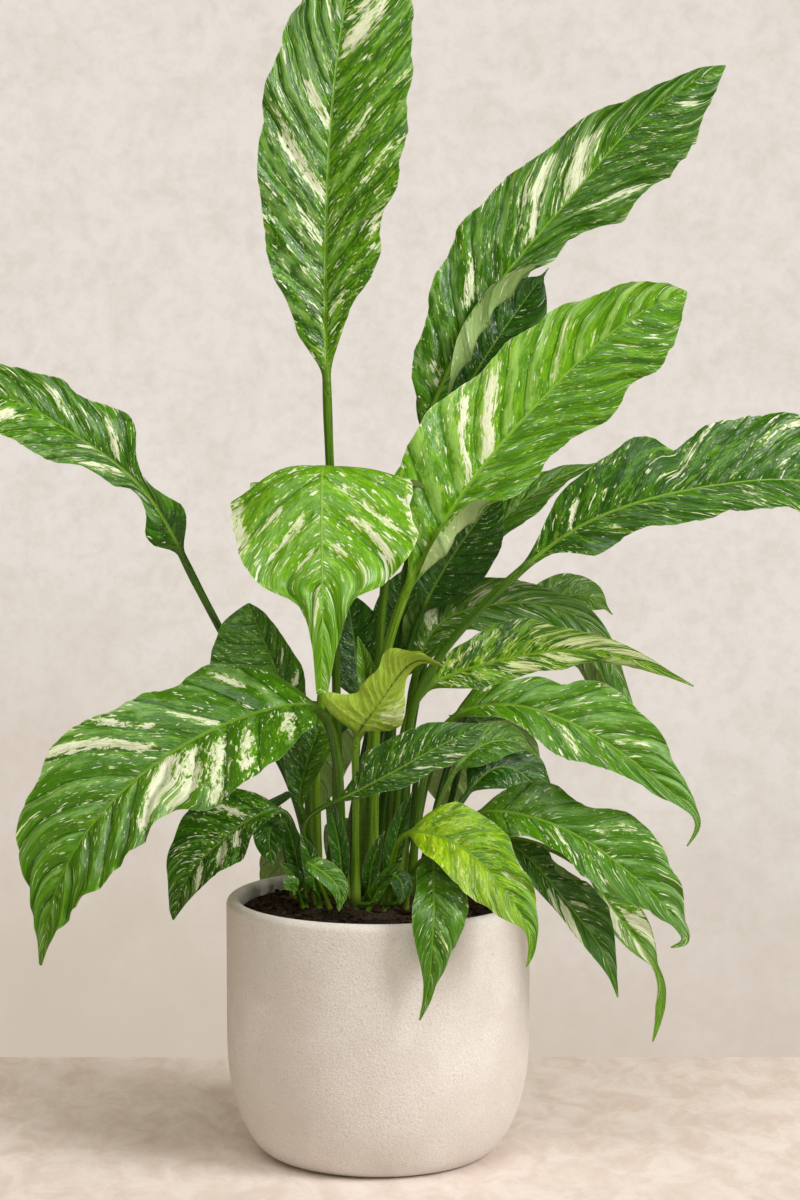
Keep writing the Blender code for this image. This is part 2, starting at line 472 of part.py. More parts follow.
def add_leaf(name, leaf, collection):
    """Loft a leaf, stalk and blade in one, through its rings and close both ends."""
    rings = leaf_rings(leaf)
    count, sides = rings.shape[:2]
    faces = []
    for ring in range(count - 1):
        for k in range(sides):
            here, beside = ring * sides + k, ring * sides + (k + 1) % sides
            # The underside's triangles mirror the upper side's, so a turned blade keeps its wall.
            if k < sides // 2:
                faces.append((here, beside, beside + sides))
                faces.append((here, beside + sides, here + sides))
            else:
                faces.append((here, beside, here + sides))
                faces.append((beside, beside + sides, here + sides))
    faces.append(tuple(range(sides))[::-1])
    faces.append(tuple((count - 1) * sides + k for k in range(sides)))
    mesh = bpy.data.meshes.new(name)
    mesh.from_pydata(rings.reshape(-1, 3).tolist(), [], faces)
    shape = bmesh.new()
    shape.from_mesh(mesh)
    bmesh.ops.recalc_face_normals(shape, faces=shape.faces)
    shape.to_mesh(mesh)
    shape.free()
    mesh.shade_smooth()
    return add_object(name, mesh, collection, material(name, LEAF_COLOURS[leaf["tone"]], 0.4))


def main():
    for old in list(bpy.data.objects):
        bpy.data.objects.remove(old)
    collection = bpy.data.collections.new("potted_peace_lily")
    bpy.context.scene.collection.children.link(collection)
    add_pot(collection)
    add_soil(collection)
    add_crown(collection)
    for name, leaf in LEAVES.items():
        add_leaf(name, leaf, collection)


main()
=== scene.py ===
import math

import bpy
import mathutils
import numpy as np
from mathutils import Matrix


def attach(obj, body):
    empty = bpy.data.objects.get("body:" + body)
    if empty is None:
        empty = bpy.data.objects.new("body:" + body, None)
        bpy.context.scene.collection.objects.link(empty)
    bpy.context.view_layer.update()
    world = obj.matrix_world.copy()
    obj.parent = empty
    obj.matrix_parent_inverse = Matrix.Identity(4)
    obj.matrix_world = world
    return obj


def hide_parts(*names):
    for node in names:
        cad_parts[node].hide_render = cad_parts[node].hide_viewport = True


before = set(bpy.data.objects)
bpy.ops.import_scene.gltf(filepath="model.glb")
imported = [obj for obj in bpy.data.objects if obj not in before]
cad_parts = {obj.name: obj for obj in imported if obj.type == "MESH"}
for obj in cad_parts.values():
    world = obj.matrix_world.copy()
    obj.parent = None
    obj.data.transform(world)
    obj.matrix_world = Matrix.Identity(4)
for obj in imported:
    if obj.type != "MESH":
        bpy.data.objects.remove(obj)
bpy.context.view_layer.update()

# Lengths are millimetres in the dictionaries and metres in the finished meshes.
# +Z is up, the plant's best side looks along -Y, and z = 0 is the pot's flat underside.
millimetre = 0.001
print("frame loaded:", len(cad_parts), "nodes")


def linear(colour):
    # a screen colour from 0 to 255 as the shader's linear one: (value / 255) ^ 2.2
    return tuple((value / 255) ** 2.2 for value in colour) + (1.0,)


def smooth(value, low, high):
    # 0 below low, 1 above high, 3 s^2 - 2 s^3 between them
    share = np.clip((value - low) / (high - low), 0, 1)
    return share * share * (3 - 2 * share)


def bell(value, centre, width):
    # exp(-((value - centre) / width)^2)
    return np.exp(-((value - centre) / width) ** 2)


def unit(vectors):
    return vectors / np.maximum(np.linalg.norm(vectors, axis=-1, keepdims=True), 1e-12)


def spline(points, places):
    # natural cubic through the points, read at shares of the straight runs' total length
    points = np.array(points, float)
    knots = np.concatenate([[0], np.cumsum(np.linalg.norm(np.diff(points, axis=0), axis=1))])
    gaps = np.diff(knots)
    slopes = np.diff(points, axis=0) / gaps[:, None]
    count = len(points)
    system = np.eye(count)
    right = np.zeros((count, 3))
    for k in range(1, count - 1):
        system[k, k - 1:k + 2] = gaps[k - 1], 2 * (gaps[k - 1] + gaps[k]), gaps[k]
        right[k] = 6 * (slopes[k] - slopes[k - 1])
    bend = np.linalg.solve(system, right)
    at = np.clip(places, 0, 1) * knots[-1]
    k = np.clip(np.searchsorted(knots, at, side="right") - 1, 0, count - 2)
    gap = gaps[k][..., None]
    back = ((knots[k + 1] - at) / gaps[k])[..., None]
    ahead = 1 - back
    cubic = (back ** 3 - back) * bend[k] + (ahead ** 3 - ahead) * bend[k + 1]
    return back * points[k] + ahead * points[k + 1] + cubic * gap ** 2 / 6


class Graph:
    # builds the nodes of one material or world; a value is a number, another node's output or
    # a screen colour from 0 to 255

    def __init__(self, owner):
        owner.use_nodes = True
        self.owner = owner
        self.tree = owner.node_tree
        self.shader = self.tree.nodes.get("Principled BSDF")

    def put(self, socket, value):
        if isinstance(value, bpy.types.NodeSocket):
            self.tree.links.new(value, socket)
        else:
            isColour = socket.type == "RGBA" and len(value) == 3
            socket.default_value = linear(value) if isColour else value

    def add(self, kind, inputs=None, out=0, **settings):
        node = self.tree.nodes.new(kind)
        for key, value in settings.items():
            setattr(node, key, value)
        for key, value in (inputs or {}).items():
            self.put(node.inputs[key], value)
        return node if out is None else node.outputs[out]

    def dress(self, inputs):
        # the shader's own sockets
        for key, value in inputs.items():
            self.put(self.shader.inputs[key], value)
        return self.owner

    def place(self):
        return self.add("ShaderNodeTexCoord", out="Object")

    def stretched(self, scale):
        return self.add("ShaderNodeMapping", {"Vector": self.place(), "Scale": scale})

    def parts(self, vector):
        # x, y and z of a vector
        return self.add("ShaderNodeSeparateXYZ", {0: vector}, None).outputs

    def attribute(self, name):
        return self.parts(self.add("ShaderNodeAttribute", out="Vector", attribute_name=name))

    def maths(self, operation, first, second, third=0.0):
        return self.add("ShaderNodeMath", {0: first, 1: second, 2: third}, operation=operation)

    def plus(self, first, second):
        return self.maths("ADD", first, second)

    def times(self, first, second):
        return self.maths("MULTIPLY", first, second)

    def line(self, value, gain, start):
        # start + gain * value
        return self.maths("MULTIPLY_ADD", value, gain, start)

    def sway(self, noise, gain, start):
        # start + gain * (noise - 0.5)
        return self.line(self.maths("SUBTRACT", noise, 0.5), gain, start)

    def vector(self, x, y, z):
        return self.add("ShaderNodeCombineXYZ", {0: x, 1: y, 2: z})

    def noise(self, vector, scale=1.0, detail=3.0, rough=0.55, twist=0.0):
        return self.add("ShaderNodeTexNoise", {"Vector": vector, "Scale": scale, "Detail": detail,
                                               "Roughness": rough, "Distortion": twist})

    def between(self, value, low, high, start=0.0, end=1.0):
        # a smooth step from low to high
        ends = {"Value": value, "From Min": low, "From Max": high, "To Min": start, "To Max": end}
        return self.add("ShaderNodeMapRange", ends, interpolation_type="SMOOTHSTEP")

    def mix(self, share, first, second):
        return self.add("ShaderNodeMix", {0: share, 6: first, 7: second}, 2, data_type="RGBA")

    def bump(self, height, distance, strength=1.0):
        return self.add("ShaderNodeBump", {"Height": height, "Distance": distance, "Strength": strength})


def finishGraph(name):
    return Graph(bpy.data.materials.new(name))


def linked(name, data):
    # a new object for some data, in the scene
    made = bpy.data.objects.new(name, data)
    bpy.context.scene.collection.objects.link(made)
    return made


def meshPiece(name, points, faces, materials, nodes):
    # one mesh that rides on the plant and stands for its CAD nodes
    mesh = bpy.data.meshes.new(name)
    mesh.from_pydata((points * millimetre).tolist(), [], faces)
    mesh.shade_smooth()
    for material in materials:
        mesh.materials.append(material)
    piece = linked(name, mesh)
    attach(piece, "root")
    for node in nodes:
        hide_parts(node)
    return piece


# The two end caps lie in the corner of the UV square past the sides' strips.
uvPlan = dict(margin=0.004, share=0.98, wide=0.98, capRadius=0.003, caps=[(0.992, 0.992), (0.992, 0.984)])


def loft(name, rings, materials, nodes, bands=None, faceMaterial=None, sharp=()):
    # rings[i, k] is ring i's point k: neighbouring rings join in quads and both ends are closed.
    # bands = [(first ring, last ring, low, high, turned)] lays strips of rings side by side in UV.
    # faceMaterial gives each quad one of the materials, and the lines through the sharp points
    # of the rings are creased.
    count, sides = rings.shape[:2]
    here = np.arange(count - 1)[:, None] * sides + np.arange(sides)
    beside = np.arange(count - 1)[:, None] * sides + (np.arange(sides) + 1) % sides
    quads = np.stack([here, beside, beside + sides, here + sides], -1).reshape(-1, 4)
    ends = [list(range(sides))[::-1], list(range((count - 1) * sides, count * sides))]
    piece = meshPiece(name, rings.reshape(-1, 3), quads.tolist() + ends, materials, nodes)
    mesh = piece.data
    ring, k = np.divmod(np.arange(len(quads)), sides)
    rows = np.stack([ring, ring, ring + 1, ring + 1], -1)
    around = np.stack([k, k + 1, k + 1, k], -1) / sides
    uv = np.zeros((len(quads), 4, 2))
    for first, last, low, high, turned in bands or [(0, count - 1, 0.0, uvPlan["wide"], False)]:
        inside = (ring >= first) & (ring < last)
        lengthwise = (rows[inside] - first) / (last - first)
        across = low + (high - low) * (around[inside] if turned else lengthwise)
        uv[inside] = np.stack([lengthwise, across] if turned else [around[inside], across], -1)
    uv = uvPlan["margin"] + uvPlan["share"] * uv
    turn = 2 * np.pi * np.arange(sides) / sides
    spot = np.stack([np.cos(turn), np.sin(turn)], -1) * uvPlan["capRadius"]
    caps = np.concatenate([spot + corner for corner in uvPlan["caps"]])
    layer = mesh.uv_layers.new(name="OFBake")
    layer.data.foreach_set("uv", np.concatenate([uv.reshape(-1, 2), caps]).ravel())
    if faceMaterial is not None:
        index = np.concatenate([faceMaterial.ravel(), [0, 0]]).astype(np.int32)
        mesh.polygons.foreach_set("material_index", index)
    if len(sharp):
        ends = np.zeros(len(mesh.edges) * 2, np.int32)
        mesh.edges.foreach_get("vertices", ends)
        first, second = ends.reshape(-1, 2).T
        creased = (np.abs(first - second) == sides) & np.isin(first % sides, sharp)
        mesh.edges.foreach_set("use_edge_sharp", creased)
    return piece


# tableSpan is the table's left, right, front and back
# the wall's darker colour is both its painted shade and its plaster mottle
room = dict(wall=(232, 224, 215), wallShadeAndMottle=(203, 189, 173), table=(243, 232, 226),
            tableShade=(224, 207, 196), tableFrontShade=(200, 189, 183), tableSpan=(-1500, 1500, -1700, 225),
            tableDeep=40.0, tableGrain=(44, 24, 44), light=0.42, gloss=0.14, tint=(1.0, 0.87, 0.64, 1.0),
            mottle=[(60, 6, 0.65, 0.3, 0.42, 0.20), (240, 5, 0.7, 0.2, 0.40, 0.24)])
camera = dict(place=(13, -1920, 532), down=6.0, lens=98.46, sensor=36)
lamps = {
    "keyLamp": dict(place=(2230, -1400, 1830), size=1.26, watts=74, tint=(0.99, 0.98, 0.97)),
    "topLamp": dict(place=(-250, -1100, 2000), size=1.3, watts=18, tint=(0.99, 1.0, 1.0))}
lampAim = (20, 0, 330)


def makeCamera():
    data = bpy.data.cameras.new("camera")
    data.lens = camera["lens"]
    data.sensor_width = camera["sensor"]
    made = linked("camera", data)
    made.location = [value * millimetre for value in camera["place"]]
    made.rotation_euler = (math.radians(90 - camera["down"]), 0, 0)
    bpy.context.scene.camera = made


def makeLamps():
    for name, lamp in lamps.items():
        data = bpy.data.lights.new(name, "AREA")
        data.shape = "SQUARE"
        data.size = lamp["size"]
        data.energy = lamp["watts"]
        data.color = lamp["tint"]
        made = linked(name, data)
        made.location = [value * millimetre for value in lamp["place"]]
        away = mathutils.Vector(lamp["place"]) - mathutils.Vector(lampAim)
        made.rotation_euler = away.to_track_quat("Z", "Y").to_euler()


def makeWorld():
    # The camera sees a plain plaster wall with painted shade that makes it a little darker low on
    # the left, gloss sees a dim room, and everything else gets an even warm light.
    world = bpy.data.worlds.new("studio")
    bpy.context.scene.world = world
    g = Graph(world)
    g.tree.nodes.clear()
    rays = g.add("ShaderNodeLightPath", out=None).outputs
    way = g.add("ShaderNodeTexCoord", out="Generated")
    # painted shade comes in where -0.25 x - z of the direction is large
    x, y, z = g.parts(way)
    slope = g.plus(g.times(x, -0.25), g.times(z, -1.0))
    slope = g.sway(g.noise(way, 26.0, 5.0, 0.6), 0.12, slope)
    wall = g.mix(g.between(slope, 0.08, 0.28), room["wall"], room["wallShadeAndMottle"])
    # plaster mottle, in the same darker colour as the painted shade
    for scale, detail, rough, twist, low, share in room["mottle"]:
        cloud = g.noise(way, scale, detail, rough, twist)
        wall = g.mix(g.between(cloud, low, 0.66, 0.0, share), wall, room["wallShadeAndMottle"])

    def light(colour, strength):
        return g.add("ShaderNodeBackground", {"Color": colour, "Strength": strength})

    def choose(ray, first, second):
        return g.add("ShaderNodeMixShader", {0: rays[ray], 1: first, 2: second})

    seen = choose("Is Glossy Ray", light(room["tint"], room["light"]), light(room["tint"], room["gloss"]))
    seen = choose("Is Camera Ray", seen, light(wall, 1.0))
    g.add("ShaderNodeOutputWorld", {"Surface": seen}, None)


def makeTable():
    # a pale slab, its top at z = 0, with painted shade that makes it a little darker towards the front
    left, right, front, back = room["tableSpan"]
    mesh = bpy.data.meshes.new("table")
    points = np.array([(x, y, z) for z in (0.0, -room["tableDeep"])
                       for x, y in ((left, front), (right, front), (right, back), (left, back))])
    mesh.from_pydata((points * millimetre).tolist(), [],
                     [(0, 1, 2, 3), (7, 6, 5, 4), (0, 4, 5, 1), (1, 5, 6, 2), (2, 6, 7, 3), (3, 7, 4, 0)])
    g = finishGraph("table_plain")
    cloud = g.noise(g.stretched(room["tableGrain"]), 1.0, 9.0, 0.72, 0.5)
    pale = g.mix(g.between(cloud, 0.36, 0.68, 0.0, 0.95), room["table"], room["tableShade"])
    # painted shade: the slab's colour darkens towards its front
    nearness = g.between(g.parts(g.place())[1], -0.5, 0.06, 1.0, 0.0)
    pale = g.mix(nearness, pale, room["tableFrontShade"])
    mesh.materials.append(g.dress({"Base Color": pale, "Roughness": 0.7, "Specular IOR Level": 0.3}))
    linked("table", mesh)


makeCamera()
makeLamps()
makeWorld()
makeTable()
bpy.context.scene.view_settings.view_transform = "Standard"
print("camera, lamps and table made")


# straightTo is where the straight side ends. points: how many points each stretch of the profile has.
pot = dict(radius=90.0, height=154.0, wall=8.5, floor=11.0, foot=60.0, straightTo=72.0, steps=224,
           points=dict(under=14, belly=30, side=16, lip=15, down=8, inside=20, floor=10),
           colour=(228, 223, 219), shade=(204, 196, 188), fleck=(182, 168, 152),
           cloudScale=22.0, sandScale=1150.0, gritScale=620.0, grain=0.00034)
axisGap = 0.5                # how near the axis a profile starts and stops


def belly(inset, lift, count):
    # from the straight side to the foot on one cubic curve:
    #     (1 - t)^3 A + 3 t (1 - t)^2 B + 3 t^2 (1 - t) C + t^3 D
    side, foot, top = pot["radius"] - inset, pot["foot"] - inset, pot["straightTo"]
    corners = np.array([(side, top), (side, top - 0.62 * (top - lift)), (side - 0.5 * (side - foot), lift),
                        (foot, lift)])
    t = np.linspace(0, 1, count)[:, None]
    weights = np.concatenate([(1 - t) ** 3, 3 * t * (1 - t) ** 2, 3 * t * t * (1 - t), t ** 3], 1)
    return weights @ corners


def turned(profile, steps):
    # ring i, point k = (r_i cos a_k, r_i sin a_k, z_i), counted the way that faces the rings out
    angle = 2 * np.pi * np.arange(steps) / steps
    radius, height = profile[:, :1], profile[:, 1:]
    return np.stack([radius * np.cos(angle), radius * np.sin(angle), height + 0 * angle], -1)


def lumps(x, y, size, seed):
    # smooth random heights from -1 to 1 on a lattice of the given size, blended between corners
    lattice = np.random.RandomState(seed).uniform(-1, 1, (64, 64))
    x, y = x / size + 20.3, y / size + 20.7
    low, left = np.floor(x).astype(int), np.floor(y).astype(int)
    dx, dy = smooth(x - low, 0, 1), smooth(y - left, 0, 1)

    def row(k):
        return lattice[low % 64, k % 64] * (1 - dx) + lattice[(low + 1) % 64, k % 64] * dx

    return row(left) * (1 - dy) + row(left + 1) * dy


def roughen(top, share, layers, rim):
    # z = z + the sum of height * lumps(size), less towards the edge, where share is 1
    rough = sum(height * lumps(top[..., 0], top[..., 1], size, seed) for height, size, seed in layers)
    top[..., 2] += rough * smooth(1 - share, 0.0, rim)[:, None]


def potFinish():
    # pale stoneware: a cloudy warm cream with fine sandy grain and small darker flecks
    g = finishGraph("pot_stoneware")
    spot = g.place()
    cloud = g.noise(spot, pot["cloudScale"], 4.0, 0.6)
    sand = g.noise(spot, pot["sandScale"], 2.0, 0.6)
    grit = g.noise(spot, pot["gritScale"], 2.0, 0.5)
    colour = g.mix(g.between(cloud, 0.35, 0.65, 0.0, 0.45), pot["colour"], pot["shade"])
    colour = g.mix(g.between(sand, 0.42, 0.62, 0.0, 0.60), colour, pot["shade"])
    colour = g.mix(g.between(grit, 0.66, 0.72, 0.0, 0.55), colour, pot["fleck"])
    return g.dress({"Base Color": colour, "Roughness": g.between(sand, 0.3, 0.7, 0.78, 0.92),
                    "Normal": g.bump(g.line(grit, 1.2, sand), pot["grain"], 0.9),
                    "Specular IOR Level": 0.3})


def makePot():
    # a profile from the middle of the underside out, up the side, over the lip and down inside
    wall, radius, foot = pot["wall"], pot["radius"], pot["foot"]
    rim, half, count = pot["height"] - wall / 2, wall / 2, pot["points"]

    def run(key, *ends):
        return np.linspace(*ends, count[key])

    turn = np.linspace(0, np.pi, count["lip"])
    lip = np.stack([radius - half + half * np.cos(turn), rim + half * np.sin(turn)], 1)
    profile = np.concatenate([run("under", (axisGap, 0), (foot, 0))[:-1],
                              belly(0.0, 0.0, count["belly"])[::-1],
                              run("side", (radius, pot["straightTo"]), (radius, rim))[1:],
                              lip[1:],
                              run("down", (radius - wall, rim), (radius - wall, pot["straightTo"]))[1:],
                              belly(wall, pot["floor"], count["inside"])[1:],
                              run("floor", (foot - wall, pot["floor"]), (axisGap, pot["floor"]))[1:]])
    loft("stonewarePot", turned(profile, pot["steps"]), [potFinish()], ["pot"])


# lumps: height, size and seed of each layer of crumbs
soil = dict(side=81.0, bottom=118.0, edge=146.0, middle=149.5, rings=84, steps=260,
            lumps=[(1.5, 9.0, 1), (0.9, 3.6, 2), (0.55, 1.7, 3)],
            dark=(15, 10, 5), brown=(40, 27, 14), bark=(84, 56, 30), barkDark=(34, 22, 11),
            crumbScale=420.0, fibreScale=(300, 900, 500), relief=0.0009)
chips = dict(count=760, seed=11, long=(0.8, 3.6), wide=(0.5, 1.6), thick=(0.35, 0.9), shake=(-0.38, 0.2),
             lift=(0.2, 1.6), overCrown=3.4, fromSide=4.5)
crown = dict(centre=(-6.0, 0.0), radius=50.0, height=153.2, bottom=149.6, rings=40, steps=150,
             lumps=[(1.0, 8.0, 5), (0.8, 3.2, 6), (0.4, 1.5, 7)], dark=(32, 24, 12), brown=(70, 56, 28))


def soilFinish(name, dark, brown):
    # damp potting mix: dark crumbs with brown fibres
    g = finishGraph(name)
    crumbs = g.noise(g.place(), soil["crumbScale"], 5.0, 0.7)
    fibre = g.noise(g.stretched(soil["fibreScale"]), 1.0, 3.0, 0.6, 1.2)
    colour = g.mix(g.between(crumbs, 0.40, 0.62), dark, brown)
    colour = g.mix(g.between(fibre, 0.60, 0.68, 0.0, 0.6), colour, soil["bark"])
    return g.dress({"Base Color": colour, "Roughness": g.between(crumbs, 0.3, 0.7, 0.75, 0.95),
                    "Normal": g.bump(crumbs, soil["relief"])})


def soilHeight(share):
    # z = middle - fall (r / side)^3
    return soil["middle"] - (soil["middle"] - soil["edge"]) * share ** 3


def makeSoil():
    # a domed top with crumbs of three sizes, closed by a drum below
    share = np.linspace(0.004, 1, soil["rings"])[::-1]
    side, bottom, edge = soil["side"], soil["bottom"], soil["edge"]
    drum = np.array([(0.4, bottom), (side * 0.96, bottom), (side, edge - 8), (side, edge - 2)])
    rings = turned(np.concatenate([drum, np.stack([share * side, soilHeight(share)], 1)]), soil["steps"])
    roughen(rings[len(drum):], share, soil["lumps"], 0.03)
    loft("pottingSoil", rings, [soilFinish("potting_soil", soil["dark"], soil["brown"])], ["soil"])


def makeBark():
    # chips are cubes with every corner shaken, stretched to slivers, turned and strewn
    chance = np.random.RandomState(chips["seed"])
    count = chips["count"]
    corners = np.array([(x, y, z) for z in (-1, 1) for x, y in ((-1, -1), (1, -1), (1, 1), (-1, 1))])
    quads = np.array([(0, 3, 2, 1), (4, 5, 6, 7), (0, 1, 5, 4), (1, 2, 6, 5), (2, 3, 7, 6), (3, 0, 4, 7)])
    size = np.stack([chance.uniform(*chips[key], count) for key in ("long", "wide", "thick")], 1)
    shape = corners * (1 + chance.uniform(*chips["shake"], (count, 8, 3))) * size[:, None]
    spin, tip, roll = (chance.uniform(-a, a, count) for a in (np.pi, 0.45, 0.4))
    c, s = np.cos, np.sin
    zero, one = np.zeros(count), np.ones(count)

    def matrix(*rows):
        return np.stack([np.stack(row, -1) for row in rows], -2)

    turn = (matrix((c(spin), -s(spin), zero), (s(spin), c(spin), zero), (zero, zero, one))
            @ matrix((c(tip), zero, s(tip)), (zero, one, zero), (-s(tip), zero, c(tip)))
            @ matrix((one, zero, zero), (zero, c(roll), -s(roll)), (zero, s(roll), c(roll))))
    radius = np.sqrt(chance.uniform(0, 1, count)) * (soil["side"] - chips["fromSide"])
    angle = chance.uniform(0, 2 * np.pi, count)
    x, y = radius * np.cos(angle), radius * np.sin(angle)
    z = soilHeight(radius / soil["side"]) + chance.uniform(*chips["lift"], count)
    inCrown = np.hypot(x - crown["centre"][0], y - crown["centre"][1]) < crown["radius"]
    z = z + chips["overCrown"] * inCrown
    points = np.einsum("nij,nkj->nki", turn, shape) + np.stack([x, y, z], 1)[:, None]
    faces = (quads[None] + 8 * np.arange(count)[:, None, None]).reshape(-1, 4)
    finish = soilFinish("bark_chips", soil["barkDark"], soil["bark"])
    piece = meshPiece("barkChips", points.reshape(-1, 3), faces.tolist(), [finish], [])
    piece.data.shade_flat()


def makeCrown():
    # a low mound that the stalks come out of
    share = np.linspace(1, 0.008, crown["rings"])
    edge = crown["bottom"] + (crown["height"] - crown["bottom"]) * smooth(1 - share, 0.0, 0.22)
    foot = np.array([(0.4, crown["bottom"] - 1), (crown["radius"], crown["bottom"] - 1)])
    rings = turned(np.concatenate([foot, np.stack([share * crown["radius"], edge], 1)]), crown["steps"])
    rings[..., :2] += crown["centre"]
    roughen(rings[len(foot):], share, crown["lumps"], 0.06)
    loft("crownMound", rings, [soilFinish("crown_mound", crown["dark"], crown["brown"])], ["crown"])


makePot()
makeSoil()
makeBark()
makeCrown()
print("pot, soil, bark and crown made")


# One look for each kind of leaf. pair: the tones that meet on it, the older green first. deepShare
# and freshShare: how much of it turns deep or fresh. speckle: how many short pale dashes it has.
# sheen: the colour of the painted sheen on the lit flanks of the pleats
leafTones = {
    "dark": dict(deep=(8, 46, 0), body=(56, 112, 0), fresh=(124, 168, 50), rib=(120, 162, 46),
                 cream=(236, 240, 212), under=(150, 188, 98), sheen=(120, 166, 104),
                 deepShare=0.50, freshShare=0.40, speckle=0.50, pair=("dark", "bright")),
    "bright": dict(deep=(44, 104, 0), body=(110, 170, 0), fresh=(176, 214, 62), rib=(140, 188, 60),
                   cream=(238, 243, 212), under=(200, 214, 158), sheen=(166, 214, 104),
                   deepShare=0.46, freshShare=0.44, speckle=0.50, pair=("dark", "bright")),
    "yellow": dict(deep=(90, 136, 0), body=(152, 192, 4), fresh=(208, 226, 68), rib=(120, 164, 30),
                   cream=(224, 234, 160), under=(180, 200, 110), sheen=(190, 216, 110),
                   deepShare=0.42, freshShare=0.50, speckle=0.36, pair=("bright", "yellow")),
    "gold": dict(deep=(36, 88, 0), body=(104, 160, 0), fresh=(178, 212, 60), rib=(132, 176, 40),
                 cream=(234, 240, 186), under=(196, 212, 130), sheen=(168, 206, 92),
                 deepShare=0.48, freshShare=0.48, speckle=0.50, pair=("gold", "gold")),
    "pale": dict(deep=(92, 128, 2), body=(146, 176, 30), fresh=(200, 216, 104), rib=(120, 150, 50),
                 cream=(236, 240, 200), under=(186, 226, 74), sheen=(196, 214, 130),
                 deepShare=0.44, freshShare=0.48, speckle=0.36, pair=("pale", "pale"))}
# Streaks: size along the midrib and along a side vein, start, detail, roughness, twist.
leafStreaks = dict(
    broad=(6.0, 14.0, 0, 6, 0.72, 0.7), patch=(3.2, 8.5, 21, 6, 0.72, 0.7),
    cream=(3.4, 9.0, 43, 7, 0.72, 0.8), dash=(2.1, 8.0, 65, 2, 0.5, 0.3),
    dot=(1.6, 2.8, 155, 1, 0.55, 0.0), grain=(0.6, 2.4, 87, 2, 0.6, 0.0),
    fibre=(1.9, 12.0, 111, 2, 0.6, 0.0), quilt=(6.0, 9.0, 133, 2, 0.5, 0.0),
    mottle=(1.6, 5.0, 99, 3, 0.6, 0.0))
# Steps: where a mark starts and is whole, and its strength at the two.
leafSteps = dict(
    bloom=(0.0, 0.50, 0.0, 0.66), cream=(0.775, 0.793), halo=(0.690, 0.730, 0.0, 0.50),
    dot=(0.740, 0.775, 0.0, 0.85), mottle=(0.48, 0.60, 0.0, 0.75), crease=(0.02, 0.32, 0.78, 0.0),
    underCrease=(0.02, 0.32, 0.55, 0.0), creaseGap=(0.36, 0.56, 0.35, 1.0), rim=(0.10, 0.50, 0.32, 0.0),
    rib=(0.65, 1.15, 0.9, 0.0), groove=(0.35, 0.65), foot=(-1.0, -0.72, 0.75, 0.0))
# Limits: where a mark starts, how far that falls with the tone's share of it, and how softly.
leafLimits = dict(deepShare=(0.60, 0.3, 0.035), freshShare=(0.74, 0.4, 0.03),
                  speckle=(0.765, 0.16, 0.02))
# Weights: how strongly one mark moves another.
leafWeights = dict(youngDeep=-0.30, oldDeep=0.95, fresh=0.6, quiltSheen=1.3, broadSheen=-0.9,
                   creamArea=1.55, patchArea=0.4, splashArea=0.30, broadDash=0.22, splashDash=0.05,
                   fleckDash=0.022, fleckDot=0.014, creamCrease=-0.75)
leafRelief = dict(fibre=2.4, grain=0.8, quilt=7.5, cream=0.8)
stalkLook = dict(darkGreen=(66, 108, 14), darkShade=(40, 76, 4), brightGreen=(128, 168, 40),
                 brightShade=(86, 130, 14), base=(136, 164, 60), stretch=26.0, rounds=1.4, relief=1.6)
leafGloss = dict(roughness=0.30, underRoughness=0.55, swing=0.07, clear=0.15, relief=0.00022,
                 underCream=0.35, underGreen=0.62)


